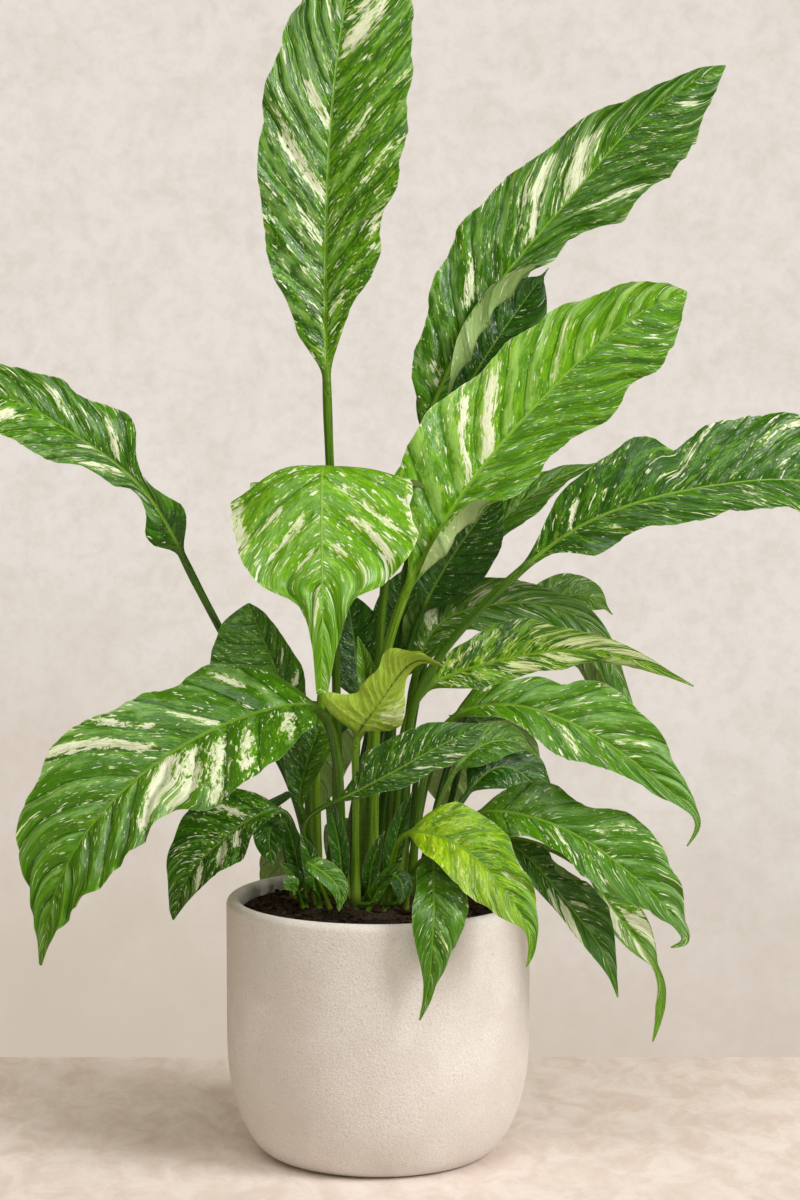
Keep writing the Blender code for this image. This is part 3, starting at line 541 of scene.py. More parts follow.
def leafFinish(tone, isUnder):
    # Colours follow the side veins. q is how far along the midrib a vein starts, v is how far
    # out along it, both in millimetres, so noise over (q / small, v / large) gives streaks.
    look = leafTones[tone]
    g = finishGraph("leaf_" + tone + ("_underside" if isUnder else ""))
    q, v, seed = g.attribute("veinSpace")
    rib, edge, pleat = g.attribute("leafMarks")
    splash, stalk, way = g.attribute("leafPaint")
    young, sheenLean, flecks = g.attribute("leafAge")
    mosaic = g.attribute("leafMood")[0]

    def streaks(small, large, start, detail, rough, twist):
        where = g.vector(g.maths("DIVIDE", q, small), g.maths("DIVIDE", v, large), g.plus(seed, start))
        return g.noise(where, 1.0, detail, rough, twist)

    def step(value, key):
        return g.between(value, *leafSteps[key])

    def over(value, key, strength=1.0):
        # the parts of a noise above a limit
        limit, fall, softness = leafLimits[key]
        limit = limit - fall * look[key]
        return g.between(value, limit, limit + softness, 0.0, strength)

    def shade(key):
        # young = 0 is the older green of the pair and 1 the younger one
        older, younger = look["pair"]
        return g.mix(young, leafTones[older][key], leafTones[younger][key])

    noise = {key: streaks(*row) for key, row in leafStreaks.items()}
    broad, patch, weight = noise["broad"], noise["patch"], leafWeights

    # deep and fresh patches, fewer deep ones on young leaves
    isDeep = g.times(over(broad, "deepShare"), g.line(young, weight["youngDeep"], weight["oldDeep"]))
    colour = g.mix(g.times(isDeep, mosaic), shade("body"), shade("deep"))
    isFresh = g.times(over(patch, "freshShare", weight["fresh"]), mosaic)
    colour = g.mix(isFresh, colour, shade("fresh"))
    # painted sheen: one flank of each pleat is painted in the paler sheen colour, as if it caught the light
    bloom = g.sway(broad, weight["broadSheen"], g.sway(noise["quilt"], weight["quiltSheen"], sheenLean))
    colour = g.mix(step(bloom, "bloom"), colour, shade("sheen"))
    # splash moves the threshold of the cream areas and of the dashes; dots are smaller and rounder
    amount = g.line(splash, weight["splashArea"], g.sway(noise["cream"], weight["creamArea"], 0.5))
    amount = g.sway(patch, weight["patchArea"], amount)
    colour = g.mix(step(amount, "halo"), colour, shade("fresh"))
    dashes = g.line(splash, weight["splashDash"], g.sway(broad, weight["broadDash"], noise["dash"]))
    dashes = g.line(flecks, weight["fleckDash"], dashes)
    dots = g.line(flecks, weight["fleckDot"], noise["dot"])
    isCream = g.maths("MAXIMUM", step(amount, "cream"), over(dashes, "speckle"))
    isCream = g.maths("MAXIMUM", isCream, step(dots, "dot"))
    creamGreen = g.mix(0.5, shade("cream"), shade("fresh"))
    softCream = g.mix(step(noise["mottle"], "mottle"), shade("cream"), creamGreen)
    if isUnder:
        softCream = g.mix(leafGloss["underCream"], softCream, shade("under"))
        colour = g.mix(leafGloss["underGreen"], colour, shade("under"))
    colour = g.mix(isCream, colour, softCream)

    # darker in the creases at the side veins (deeper green veins and painted shade), a pale rim and a pale
    # midrib
    crease = g.times(step(pleat, "underCrease" if isUnder else "crease"), step(patch, "creaseGap"))
    crease = g.times(crease, g.line(isCream, weight["creamCrease"], 1.0))
    colour = g.mix(crease, colour, shade("deep"))
    colour = g.mix(step(edge, "rim"), colour, creamGreen)
    colour = g.mix(step(rib, "rib"), colour, shade("rib"))

    # stalks: fresh green, paler at the foot, with fine lengthwise streaks
    lines = g.noise(g.vector(g.maths("DIVIDE", q, stalkLook["stretch"]), g.times(v, stalkLook["rounds"]),
                             seed))
    # the stalk's green follows the leaf's age, lighter on young leaves and darker on old ones: partly its
    # own green, partly painted light and shade
    stem, groove = (g.mix(young, stalkLook["dark" + key], stalkLook["bright" + key])
                    for key in ("Green", "Shade"))
    stem = g.mix(step(lines, "groove"), stem, groove)
    stem = g.mix(step(way, "foot"), stem, stalkLook["base"])
    colour = g.mix(g.between(stalk, 0.0, 1.0), colour, stem)

    # fine side veins, the quilting between them and grain as relief, none of it on a stalk
    relief = 0.0
    for key, height in leafRelief.items():
        relief = g.line(noise[key], height, relief)
    relief = g.times(relief, g.maths("SUBTRACT", 1.0, stalk))
    relief = g.plus(relief, g.times(g.times(lines, stalkLook["relief"]), stalk))
    bump = g.bump(relief, leafGloss["relief"], 0.8)

    rough, swing = leafGloss["underRoughness" if isUnder else "roughness"], leafGloss["swing"]
    g.dress({"Base Color": colour, "Normal": bump, "Specular IOR Level": 0.5,
             "Roughness": g.between(noise["grain"], 0.2, 0.8, rough - swing, rough + swing)})
    clear = g.add("ShaderNodeBsdfTranslucent", {"Color": colour, "Normal": bump})
    both = g.add("ShaderNodeMixShader", {0: leafGloss["clear"], 1: g.shader.outputs[0], 2: clear})
    g.put(g.tree.nodes["Material Output"].inputs["Surface"], both)
    return g.owner


leafFinishes = {tone: (leafFinish(tone, False), leafFinish(tone, True)) for tone in leafTones}
print("leaf finishes made:", 2 * len(leafFinishes))


leafShape = dict(
    stations=400,            # places along a blade that its section is worked out at
    seatHeight=151.6,        # where the stalks go into the crown
    sweep=0.8,               # how far a side vein bends towards the tip
    sweepPower=1.12,         # and how early
    tailFrom=0.23,           # the drip tip's outline is whole from this share of the blade on
    tailLap=0.8,             # share of the drip tip that lies past the blade's body
    softness=21,             # stations over which an outline is rounded
    leastWidth=0.4,
    fewestVeins=7,
    fullLength=200,          # shorter blades have smaller waves and pleats
    fullWidth=17,            # and so do narrower places
    rib=0.8,                 # the midrib's radius as a share of the stalk's
    leastRib=0.22,
    groove=0.22,             # depth of the groove over the midrib, as a share of its radius
    wall=0.5,                # thickness of the blade
    edgeWall=0.05,           # thickness left at its margin
    neckBlend=16,            # length over which the stalk turns into the blade
    flatStalk=0.86,          # height of the stalk's upper side as a share of its radius
    sheath=0.45,             # how much thicker the stalk is at its foot
    tipRadius=0.35)
leafSizes = [                # blades longer than this: half columns, rows per vein, stalk rows
    (150, 15, 9, 26),
    (80, 11, 8, 18),
    (0, 8, 7, 12)]
leafSides = ((-1, "left"), (1, "right"))
leafDefaults = dict(tone="dark", tail=(0.06, 1.6), fold=(8, 8), wave=(2.6, 44), veinGap=18, pleat=2.0,
                    young=(0, 0), youngTip=0, bloom=(0.45, 0.3, 0.25), mosaic=0.45, cream=0.12,
                    flecks=0, curl={}, splash={})


def halfWidth(leaf, side, along):
    # either widths at percentages of the blade, with the corners rounded off, or
    # W = greatest * s^base (1 - s)^point / its own peak, never less than the drip tip's taper
    outline = leaf["both"] if "both" in leaf else leaf[side]
    if isinstance(outline, dict):
        wide = np.interp(along, np.array(list(outline)) / 100, list(outline.values()))
        spread = leafShape["softness"]
        soft = np.hanning(spread + 2)[1:-1]
        wide = np.pad(wide, spread // 2, "reflect", reflect_type="odd")
        return np.maximum(np.convolve(wide, soft / soft.sum(), "valid"), leafShape["leastWidth"])
    greatest, base, point = outline
    tailShare, tailStart = leaf["tail"]
    body = np.clip(along / (1 - leafShape["tailLap"] * tailShare), 0, 1)
    widest = base / (base + point)
    peak = widest ** base * (1 - widest) ** point
    wide = greatest * body ** base * (1 - body) ** point / peak
    taper = np.clip((1 - along) / tailShare, 0, 1) * np.clip(along / leafShape["tailFrom"], 0, 1)
    return np.maximum(wide, np.maximum(tailStart * taper, leafShape["leastWidth"]))


def faceDirections(hints, along):
    # the way the upper side looks, eased between hints at even steps
    hints = np.array(hints, float)
    place = along * (len(hints) - 1)
    low = np.minimum(place.astype(int), len(hints) - 2)
    share = (place - low)[:, None]
    share = 0.5 * (share + smooth(share, 0, 1))
    return hints[low] * (1 - share) + hints[low + 1] * share


def crossFrame(facing, along):
    # face = facing without its part along the path, side = along x face
    face = unit(facing - (facing * along).sum(1)[:, None] * along)
    return np.cross(along, face), face


def leafRings(leaf, seed):
    # A blade is a surface of two numbers: tau, where a side vein leaves the midrib, and u, the
    # share of the half width, less than 0 to the left. Each vein sweeps towards the tip:
    #     t = tau + sweep * tau * (1 - tau) * |u|^1.12
    # The section at t turns by angle = fold * (1.6 - 1.2 |u|) + curl(t), which grows from one
    # |u| to another, and gives
    #     point = midrib(t) + side(t) * X + face(t) * Y
    # where X and Y are the half width times the running integrals of cos and sin of the angle.
    # Pleats between the veins and waves along the margin then move it along its own normal.
    route = [(*leaf["seat"], leafShape["seatHeight"])] + leaf["stalk"] + leaf["blade"]
    steps = np.linalg.norm(np.diff(np.array(route, float), axis=0), axis=1)
    stalkSteps = 1 + len(leaf["stalk"])
    neck = steps[:stalkSteps].sum() / steps.sum()
    length = steps[stalkSteps:].sum()
    halfColumns, veinRows, stalkRows = next(size[1:] for size in leafSizes if length > size[0])
    veins = max(leafShape["fewestVeins"], round(length / leaf["veinGap"]))
    rows = veins * veinRows

    stations = leafShape["stations"]
    fine = np.linspace(0, 1, stations + 1)
    centre = spline(route, neck + (1 - neck) * fine)
    side, face = crossFrame(faceDirections(leaf["faces"], fine), unit(np.gradient(centre, axis=0)))

    scale = min(1.0, length / leafShape["fullLength"]) ** 0.5
    height, span = leaf["wave"]
    chance = np.random.RandomState(seed)
    waveTurn, slowTurn, rippleTurn, rollTurn = np.split(chance.uniform(0, 2 * np.pi, 7), (2, 4, 6))

    def drift(share, k):
        # a slow change along margin k, so that its waves aren't even
        return waveTurn[k] + 1.3 * np.sin(2.8 * np.pi * share + slowTurn[k])

    half = np.linspace(0, 1, halfColumns + 1) ** 1.5
    columns = np.concatenate([-half[:0:-1], half])
    across, rise, width = (np.zeros((stations + 1, len(columns))) for table in range(3))
    for k, (sign, name) in enumerate(leafSides):
        # small notches along the margin, smaller where the blade is narrow and none at its tip
        wide = halfWidth(leaf, name, fine)[:, None]
        ways = 2 * np.pi * fine * length / span + drift(fine, k)
        notch = 0.5 * height * np.sin(ways + 0.9) + 0.35 * np.sin(2.7 * ways) + 0.2 * np.sin(7.1 * ways)
        wide = wide + (notch * smooth(wide[:, 0], 4, 20) * smooth(1 - fine, 0, 0.12))[:, None] * scale
        angle = math.radians(leaf["fold"][k]) * (1.6 - 1.2 * half) + np.zeros_like(wide)
        if name in leaf["curl"]:
            middleAt, spread, degrees, bendFrom, bendTo = leaf["curl"][name]
            bent = math.radians(degrees) * bell(fine, middleAt / 100, spread / 100)[:, None]
            angle = angle + bent * smooth(half, bendFrom / 100, bendTo / 100)
        chosen = halfColumns + sign * np.arange(1, halfColumns + 1)
        run, lift = (np.cumsum(wide * np.diff(half) * (wave(angle[:, 1:]) + wave(angle[:, :-1])) / 2, 1)
                     for wave in (np.cos, np.sin))
        across[:, chosen] = sign * run
        rise[:, chosen] = lift
        width[:, chosen] = wide
    width[:, halfColumns] = width[:, halfColumns + 1]

    tau = np.arange(rows + 1)[:, None] / rows
    u = np.abs(columns)
    t = np.clip(tau + leafShape["sweep"] * tau * (1 - tau) * u ** leafShape["sweepPower"], 0, 1)
    at = t * stations
    low = np.minimum(at.astype(int), stations - 1)
    part = at - low

    def read(table):
        share = part[..., None]
        return table[low] * (1 - share) + table[low + 1] * share

    def readColumn(table):
        k = np.arange(len(columns))
        return table[low, k] * (1 - part) + table[low + 1, k] * part

    across, rise, width = readColumn(across), readColumn(rise), readColumn(width)
    side, face, middle = read(side), read(face), read(centre)
    surface = middle + side * across[..., None] + face * rise[..., None]

    # a rounded pleat between every two veins, lower by the midrib and the margin
    phase = (tau * veins) % 1.0
    phase = np.where(np.isclose(phase, 1.0), 0.0, phase)
    pleat = np.sin(np.pi * phase) ** 0.6
    fade = smooth(u, 0.015, 0.16) * (1 - 0.45 * smooth(u, 0.6, 1.0))
    ends = smooth(tau, 0.02, 0.14) * (1 - smooth(tau, 0.86, 0.99))
    moved = leaf["pleat"] * scale * (pleat - 0.6) * fade * ends
    # waves that grow towards each margin, and a slow roll of the whole blade
    for k, (sign, name) in enumerate(leafSides):
        wave = np.sin(2 * np.pi * tau * length / span + drift(tau, k))
        ripple = 0.35 * np.sin(2 * np.pi * tau * length / (span * 0.43) + rippleTurn[k])
        moved = moved + scale * height * u ** 2.6 * (wave + ripple) * ends * (columns * sign > 0)
    moved = moved + 0.5 * scale * np.sin(2 * np.pi * 2.3 * tau + rollTurn + 2.5 * columns) * u * ends

    def normals(points):
        cross = np.cross(np.gradient(points, axis=1), np.gradient(points, axis=0))
        size = np.linalg.norm(cross, axis=-1, keepdims=True)
        return np.where(size > 1e-7, cross / np.maximum(size, 1e-12), face)

    surface = surface + normals(surface) * (moved * smooth(width, 2, leafShape["fullWidth"]))[..., None]
    # a groove over the midrib, and a thin wall that is thicker there and rounded at the margin
    upward = normals(surface)
    out = u * width
    radius = leaf["radius"]
    ribRadius = leafShape["rib"] * radius * (1 - t) ** 0.8 + leafShape["leastRib"]
    groove = leafShape["groove"] * ribRadius * bell(out, 0, 0.9 * ribRadius) * ends
    surface = surface - upward * groove[..., None]
    wall = leafShape["wall"] * (1 - u ** 6) + leafShape["edgeWall"]
    wall = wall + 1.15 * ribRadius * bell(out, 0, 1.1 * ribRadius)
    under = surface - upward * wall[..., None]
    ring = np.concatenate([surface, under[:, -2:0:-1]], axis=1)

    count = len(columns) - 1
    turn = np.pi * (1 - np.arange(2 * count) / count)

    def circles(middles, sides, faces, radii):
        # middle + radius * (side cos turn + face sin turn), a little flat on the upper side
        radii = np.asarray(radii)[:, None, None]
        flat = np.where(np.sin(turn) > 0, leafShape["flatStalk"], 1.0) * np.sin(turn)
        return middles[:, None] + radii * (np.cos(turn)[:, None] * sides[:, None]
                                           + flat[:, None] * faces[:, None])

    # the blade grows out of a round stalk and ends in a point
    frames = [middle[:, halfColumns], unit(side[:, halfColumns]), unit(face[:, halfColumns])]
    tubes = circles(*frames, np.full(rows + 1, radius))
    blend = smooth(tau, 0.0, min(0.12, leafShape["neckBlend"] / length))
    ring = tubes * (1 - blend[..., None]) + ring * blend[..., None]
    ring[-1] = circles(*(row[-1:] for row in frames), [leafShape["tipRadius"]])[0]

    up = np.linspace(0, 1, stalkRows + 1)[:-1]
    stalkAlong = unit(spline(route, neck * up + 0.004) - spline(route, neck * up - 0.004))
    stalkFrame = crossFrame(faceDirections(leaf["faces"], np.zeros(1)), stalkAlong)
    sheath = 1 + leafShape["sheath"] * (1 - smooth(up, 0.0, 0.42)) + 0.1 * bell(up, 0.94, 0.04)
    rings = np.concatenate([circles(spline(route, neck * up), *stalkFrame, radius * sheath), ring])

    def both(top, onStalk=0.0):
        # a value for every point: the upper side's, again for the underside, and the stalk's
        top = top + 0.0 * t
        blade = np.concatenate([top, top[:, -2:0:-1]], axis=1)
        return np.concatenate([np.broadcast_to(onStalk, (stalkRows, 2 * count)), blade])

    def bySide(pair):
        return np.where(columns > 0, pair[1], pair[0])

    splash = leaf["cream"]
    for sign, name in leafSides:
        for row in leaf["splash"].get(name, []):
            origin, spread, start, stop = np.array(row[:4]) / 100
            reach = smooth(u, start - 0.05, start + 0.05) * (1 - smooth(u, stop - 0.08, stop + 0.08))
            splash = splash + row[4] * bell(tau, origin, spread) * reach * (columns * sign > 0)
    age = np.clip(bySide(leaf["young"]) + leaf["youngTip"] * t, 0, 1)
    # painted sheen: more on one half of the blade and on one flank of each pleat
    sheenLean = leaf["bloom"][2] * np.sin(2 * np.pi * phase) + bySide(leaf["bloom"]) - 0.5
    sheenLean = sheenLean * smooth(u, 0.0, 0.1)
    fineness = min(2.0, max(1.0, 220 / length) ** 0.6)
    stalkPlace = (up * neck / (1 - neck) * length - length)[:, None]
    data = {
        "veinSpace": [both(tau * length * fineness, stalkPlace),
                      both(out * 1.15 * fineness, turn * radius),
                      both(seed * 7.3 + 3.1 * (columns > 0), seed * 7.3)],
        "leafMarks": [both(out / (0.55 * ribRadius)), both((1 - u) * width * fineness, 30.0),
                      both(pleat, 1.0)],
        "leafPaint": [both(splash), both(1 - blend, 1.0), both(tau, up[:, None] - 1)],
        "leafAge": [both(age, leaf["young"][0]), both(sheenLean, -1.0), both(leaf["flecks"])],
        "leafMood": [both(leaf["mosaic"])]}
    return rings, data, stalkRows, count


def makeLeaf(name, seed, leaf, nodes=()):
    # the finish reads the marks as attributes of the points
    leaf = {**leafDefaults, **leaf}
    rings, data, stalkRows, count = leafRings(leaf, seed)
    ring = np.arange(len(rings) - 1)[:, None]
    isUnder = (np.arange(2 * count)[None] >= count) & (ring >= stalkRows)
    bands = [(0, stalkRows, 0.0, 0.05, True), (stalkRows, len(rings) - 1, 0.06, uvPlan["wide"], False)]
    tone = leaf["tone"]
    piece = loft(name, rings, leafFinishes[tone], nodes, bands, isUnder, (0, count))
    for key, parts in data.items():
        kind, field = ("FLOAT_VECTOR", "vector") if len(parts) == 3 else ("FLOAT", "value")
        layer = piece.data.attributes.new(key, kind, "POINT")
        layer.data.foreach_set(field, np.stack(parts, -1).ravel())

# Each leaf replaces the CAD node of its name. Lengths are millimetres.
# tone: one of leafTones. seat: x and y at the crown. stalk, blade: points of the midrib, up to the
# blade and along it. radius: the stalk's. left, right: half widths at percentages of the blade, or
# (greatest, base, point) for a plain outline, which both gives to the two sides. fold: how far each
# half folds up. wave: height and length of the margin's waves. veinGap, pleat: distance between
# side veins and height between them. curl: middle, spread, degrees, and from where to where across
# an edge rolls, in percent. faces: where the upper side looks, base to tip. young: age of the green
# on each half, with youngTip added by the tip. bloom: painted sheen on each half, and its
# change over a pleat. mosaic, cream, flecks: how patched, creamy and dotted it is. splash: cream
# areas by the percentage of the midrib they start at, their spread, from where to where across,
# and strength. tail: share and start width of the drip tip of a plain outline.
leaves = {
    "leaf_top_centre": dict(
        tone="bright", seat=(-24, 24), stalk=[(-25, 36, 245), (-27, 46, 350)], radius=2.6,
        blade=[(-31, 52, 458), (-31, 62, 562), (-24, 75, 655), (-6, 92, 752)],
        left={0: 3, 5: 11, 10: 17.5, 15: 24.5, 20: 31, 30: 40, 45: 44, 55: 43, 65: 37.5, 75: 28, 85: 20,
            90: 14, 95: 8, 100: 0.6},
        right={0: 3, 5: 6, 10: 12, 15: 19, 20: 28, 25: 34, 34: 37, 40: 46, 55: 48, 70: 46, 80: 38, 90: 23,
            95: 13, 100: 0.6}, fold=(18, 16), veinGap=22, pleat=3.8,
        faces=[(-0.1, -1, 0.1), (0.1, -1, 0.2)], young=(0.4, 0.62), bloom=(0.38, 0.2, 0.5), mosaic=0.9,
        cream=0.26, flecks=0.6,
        splash=dict(left=[(51, 1.8, 0, 45, 1.2), (36, 2, 2, 75, 1.1), (27, 2, 5, 45, 0.8),
            (18, 1.2, 10, 40, 0.5)], right=[(66, 3.5, 5, 60, 1.1), (44, 1.5, 10, 50, 0.7),
            (12, 1.5, 20, 60, 0.8), (20, 2, 80, 100, 0.9), (74, 5, 20, 100, 0.9), (32, 2, 50, 100, 0.6)])),
    "leaf_upper_right": dict(
        seat=(-6, 12), stalk=[(-3, 20, 250), (1, 25, 304), (9, 34, 370)], radius=2.6,
        blade=[(27, 45, 427), (58, 56, 494), (118, 72, 569), (171, 84, 624), (210, 88, 646)],
        left={0: 5.5, 10: 19.5, 20: 26, 30: 35, 40: 40, 50: 37.5, 60: 32, 70: 25, 80: 15, 88: 8, 95: 6.5,
            100: 0.5},
        right={0: 3, 10: 17, 20: 22, 30: 23, 40: 21, 45: 20, 50: 21, 60: 36, 70: 39, 80: 40, 85: 37, 90: 25,
            95: 14, 100: 0.5}, fold=(16, 14), veinGap=20, pleat=3.5, curl=dict(right=(24, 16, 165, 36, 56)),
        faces=[(-0.2, -1, 0.2), (-0.1, -1, 0.3)], young=(0.36, 0.32), bloom=(0.46, 0.36, 0.3), mosaic=0.65,
        cream=0.22, flecks=0.1,
        splash=dict(left=[(58, 5, 0, 60, 1.25), (45, 2.5, 5, 85, 1.1), (40, 1.5, 30, 80, 0.6),
            (25, 2, 20, 65, 0.9), (10, 2, 10, 50, 0.6)], right=[(50, 2, 40, 90, 0.9),
            (84, 1.5, 30, 70, 0.8)])),
    "leaf_upper_right_inner": dict(
        seat=(4, 31), stalk=[(8, 44, 240), (16, 58, 335)], radius=2.4,
        blade=[(32, 72, 405), (62, 86, 465), (104, 102, 524)], both=(30, 0.8, 0.8),
        faces=[(0.1, -1, 0.3), (0.2, -1, 0.3)]),
    "leaf_right_large": dict(
        tone="bright", seat=(-4, -6), stalk=[(-2, -3, 230), (1, -2, 280), (9, 0, 314)], radius=2.8,
        blade=[(17, 2, 336), (27, 5, 355), (52, 12, 395), (103, 28, 453), (162, 40, 501), (184, 44, 510)],
        left={0: 3, 4: 5, 8: 10, 13: 28, 18: 38, 27: 44, 36: 45, 45: 41, 54: 38, 63: 37, 73: 32, 82: 23.5,
            91: 16, 95: 12, 100: 1},
        right={0: 3, 4: 8, 8: 14, 13: 21, 18: 27, 22: 29, 27: 28, 31: 29, 36: 31, 45: 28, 54: 31.5, 63: 39,
            73: 33, 82: 36, 91: 29, 95: 17, 100: 1}, fold=(14, 10), veinGap=20, pleat=3.5,
        curl=dict(right=(14, 15, 165, 45, 62)), faces=[(-0.1, -1, 0.15), (0, -1, 0.3)], young=(1, 0.85),
        bloom=(0.55, 0, 0.4), mosaic=0.75, cream=0.08, flecks=0.6,
        splash=dict(left=[(29.8, 1.7, 0, 85, 1.2), (37.2, 2.2, 0, 90, 1.4), (60, 0.8, 5, 80, 1),
            (72.5, 0.8, 5, 30, 0.9)], right=[(74, 2, 30, 70, 0.6)])),
    "leaf_right_side": dict(
        seat=(10, -4), stalk=[(17, -4, 230), (20, -3, 264), (46, -6, 310)], radius=2.5,
        blade=[(84, -10, 349), (117, -12, 374), (156, -12, 390), (209, -8, 400), (250, -2, 400),
            (286, 8, 386)],
        left={0: 2.5, 10: 10, 20: 23, 30: 31.5, 40: 37, 44: 36, 48.5: 26, 53: 32, 60: 37.5, 70: 41, 80: 42,
            90: 34, 96: 18, 100: 1},
        right={0: 2, 10: 5, 15: 16, 20: 22.5, 30: 20, 40: 22, 60: 22, 70: 25.5, 80: 25, 90: 20, 95: 13,
            100: 1}, fold=(12, 12), pleat=3, faces=[(-0.1, -0.9, 0.4), (0, -0.75, 0.65)], young=(0.2, 0.25),
        youngTip=0.2, bloom=(0, 0.05, 0.3), mosaic=0.8, cream=0.2, flecks=0.2,
        splash=dict(left=[(16, 1.2, 5, 60, 1), (40, 2, 30, 100, 0.7), (62, 5, 50, 100, 0.5)],
            right=[(60, 8, 10, 90, 0.3)])),
    "leaf_left_side": dict(
        seat=(-35, 22), stalk=[(-46, 34, 195), (-62, 42, 240), (-92, 42, 302)], radius=2.3,
        blade=[(-117, 34, 353), (-128, 26, 377), (-146, 16, 402), (-173, 6, 424), (-200, -2, 442),
            (-228, -8, 452), (-254, -12, 445)],
        left={0: 3, 5: 11, 10: 18.5, 15: 17, 20: 8, 25: 5, 30: 6, 35: 14, 50: 16.5, 60: 27, 70: 32, 80: 32,
            90: 24, 100: 1},
        right={0: 2.5, 5: 9, 10: 13.5, 15: 13, 20: 8.5, 25: 5, 30: 5, 35: 11, 40: 24, 45: 28, 50: 26,
            60: 23.5, 80: 20.5, 90: 15, 96: 8, 100: 1}, fold=(12, 12),
        faces=[(0.3, -0.95, 0.1), (0.1, -0.9, 0.4), (-0.1, -0.75, 0.65), (0, -0.8, 0.6)],
        young=(0.08, 0.08), youngTip=0.55, mosaic=0.7, cream=0.24, flecks=0.6,
        splash=dict(left=[(33, 3, 20, 90, 1), (47, 2, 0, 30, 1), (72, 5, 30, 85, 1.1),
            (8, 10, 0, 100, -0.7)], right=[(37, 2, 10, 70, 1.1), (55, 3, 30, 80, 0.8),
            (8, 10, 0, 100, -0.7)])),
    "leaf_front_arching": dict(
        tone="bright", seat=(-36, 4), stalk=[(-36, 8, 240), (-31, 12, 300)], radius=2.6,
        blade=[(-29, 22, 356), (-31, 16, 398), (-32, -12, 410.5), (-32, -46, 377), (-31, -68, 327),
            (-32, -76, 284)],
        left={0: 20, 5: 50, 10: 58, 25: 58, 30: 54, 40: 51.5, 50: 54, 55: 55, 60: 53, 65: 48, 69: 40,
            72: 30, 74.5: 19, 78: 14.5, 82: 11.5, 88: 8, 94: 6, 100: 4},
        right={0: 10, 10: 30, 20: 42, 30: 45, 35: 50, 40: 57, 50: 56, 55: 53, 60: 50, 65: 44, 69: 38,
            72: 30, 74.5: 18, 78: 12, 82: 8.5, 88: 5.5, 94: 4, 100: 2.5}, fold=(-6, -6), veinGap=21,
        pleat=3.8, curl=dict(right=(38, 16, -42, 20, 90), left=(45, 10, -12, 30, 90)),
        faces=[(0, 0.9, 0.4), (0, -0.3, 1), (0, -1, 0.5), (0, -1, 0.1)], young=(1, 1),
        bloom=(0.3, 0.3, 0.3), mosaic=0.5, cream=0.26, flecks=1.5,
        splash=dict(left=[(40, 1.2, 20, 80, 1.2), (47, 1.2, 30, 90, 1.2), (58, 1, 5, 30, 1),
            (56, 1, 45, 80, 1), (30, 12, 96, 105, 1.2), (88, 8, 0, 110, -1.2)],
            right=[(50, 1.2, 20, 70, 1.1), (60, 1, 10, 40, 0.9), (35, 8, 88, 105, 1.3),
            (74, 2, 10, 60, 1.2), (42, 1, 40, 70, 0.9), (88, 8, 0, 110, -1.2)])),
    "leaf_left_large": dict(
        seat=(-20, -10), stalk=[(-22, -10, 200), (-24, -11, 236)], radius=2.9,
        blade=[(-34, -20, 267), (-68, -42, 270), (-110, -64, 254), (-155, -84, 219), (-181, -94, 176),
            (-190, -98, 133)],
        left={0: 12, 10: 33, 20: 44, 30: 52, 40: 53, 45: 50, 50: 36, 55: 34, 60: 38, 70: 34, 80: 24.5,
            90: 10.5, 95: 4, 100: 1},
        right={0: 14, 10: 31.5, 20: 43, 30: 39.5, 40: 40.5, 50: 50.5, 60: 50, 70: 42, 80: 26, 90: 9, 95: 4,
            100: 1}, veinGap=20, pleat=3.3,
        faces=[(-0.1, -0.55, 0.85), (-0.25, -0.8, 0.6), (-0.5, -0.85, 0.2)], young=(0.34, 0.32),
        youngTip=0.25, bloom=(0.35, 0.5, 0.3), mosaic=0.5, cream=0.14, flecks=0.5,
        splash=dict(left=[(41, 4, 2, 90, 1.35), (34, 2.5, 10, 95, 1.1), (27, 2.5, 20, 95, 1.1),
            (19, 2, 30, 90, 1), (10, 1.4, 30, 90, 1)], right=[(40, 1.4, 20, 100, 1.6),
            (32, 1, 45, 100, 1.3), (27, 1.5, 5, 50, 1.1), (13, 1.4, 50, 80, 1.5)])),
    "leaf_young_curled": dict(
        tone="pale", seat=(-13, -25), stalk=[(-13, -22, 200), (-13, -25, 235)], radius=2.2,
        blade=[(-12, -28, 253), (-2, -34, 270), (10, -40, 288), (22, -44, 300), (39, -52, 297)],
        left={0: 3, 10: 6, 20: 16, 30: 18, 40: 15.5, 50: 9, 60: 5, 70: 4, 80: 3, 90: 2, 100: 0.5},
        right={0: 4, 10: 36, 20: 34, 27: 20, 33: 15, 40: 16, 50: 15, 60: 15, 70: 19, 80: 10, 90: 4,
            100: 0.5}, fold=(-14, -18), wave=(2.2, 20), veinGap=4.5, pleat=1.2,
        faces=[(0.2, 0.9, 0.3), (0.1, 0.8, 0.6)], young=(1, 1), cream=0.22,
        splash=dict(left=[(25, 8, 30, 100, 1.1)])),
    "leaf_left_upright": dict(
        seat=(-44, 13), stalk=[(-42, 16, 200)], radius=2,
        blade=[(-45, 18, 240), (-60, 22, 284), (-78, 30, 325)],
        left={0: 3, 20: 24, 40: 34, 55: 37, 70: 36, 80: 31, 90: 24, 97: 16, 100: 2},
        right={0: 3, 10: 8, 20: 10.5, 30: 12, 40: 14.5, 50: 15.6, 60: 14.4, 70: 13, 80: 12, 90: 8, 95: 5,
            100: 1}, fold=(10, 12), faces=[(-0.2, -1, 0.1), (-0.3, -1, 0.2)], young=(0.3, 0.22), flecks=0.3,
        splash=dict(right=[(32, 2, 20, 80, 1.6), (50, 1.5, 30, 70, 1.5)])),
    "leaf_left_low": dict(
        seat=(-43, -17), stalk=[(-47, -22, 184)], radius=1.8,
        blade=[(-56, -27, 209), (-74, -36, 206), (-92, -44, 193), (-108, -50, 177), (-118, -54, 150)],
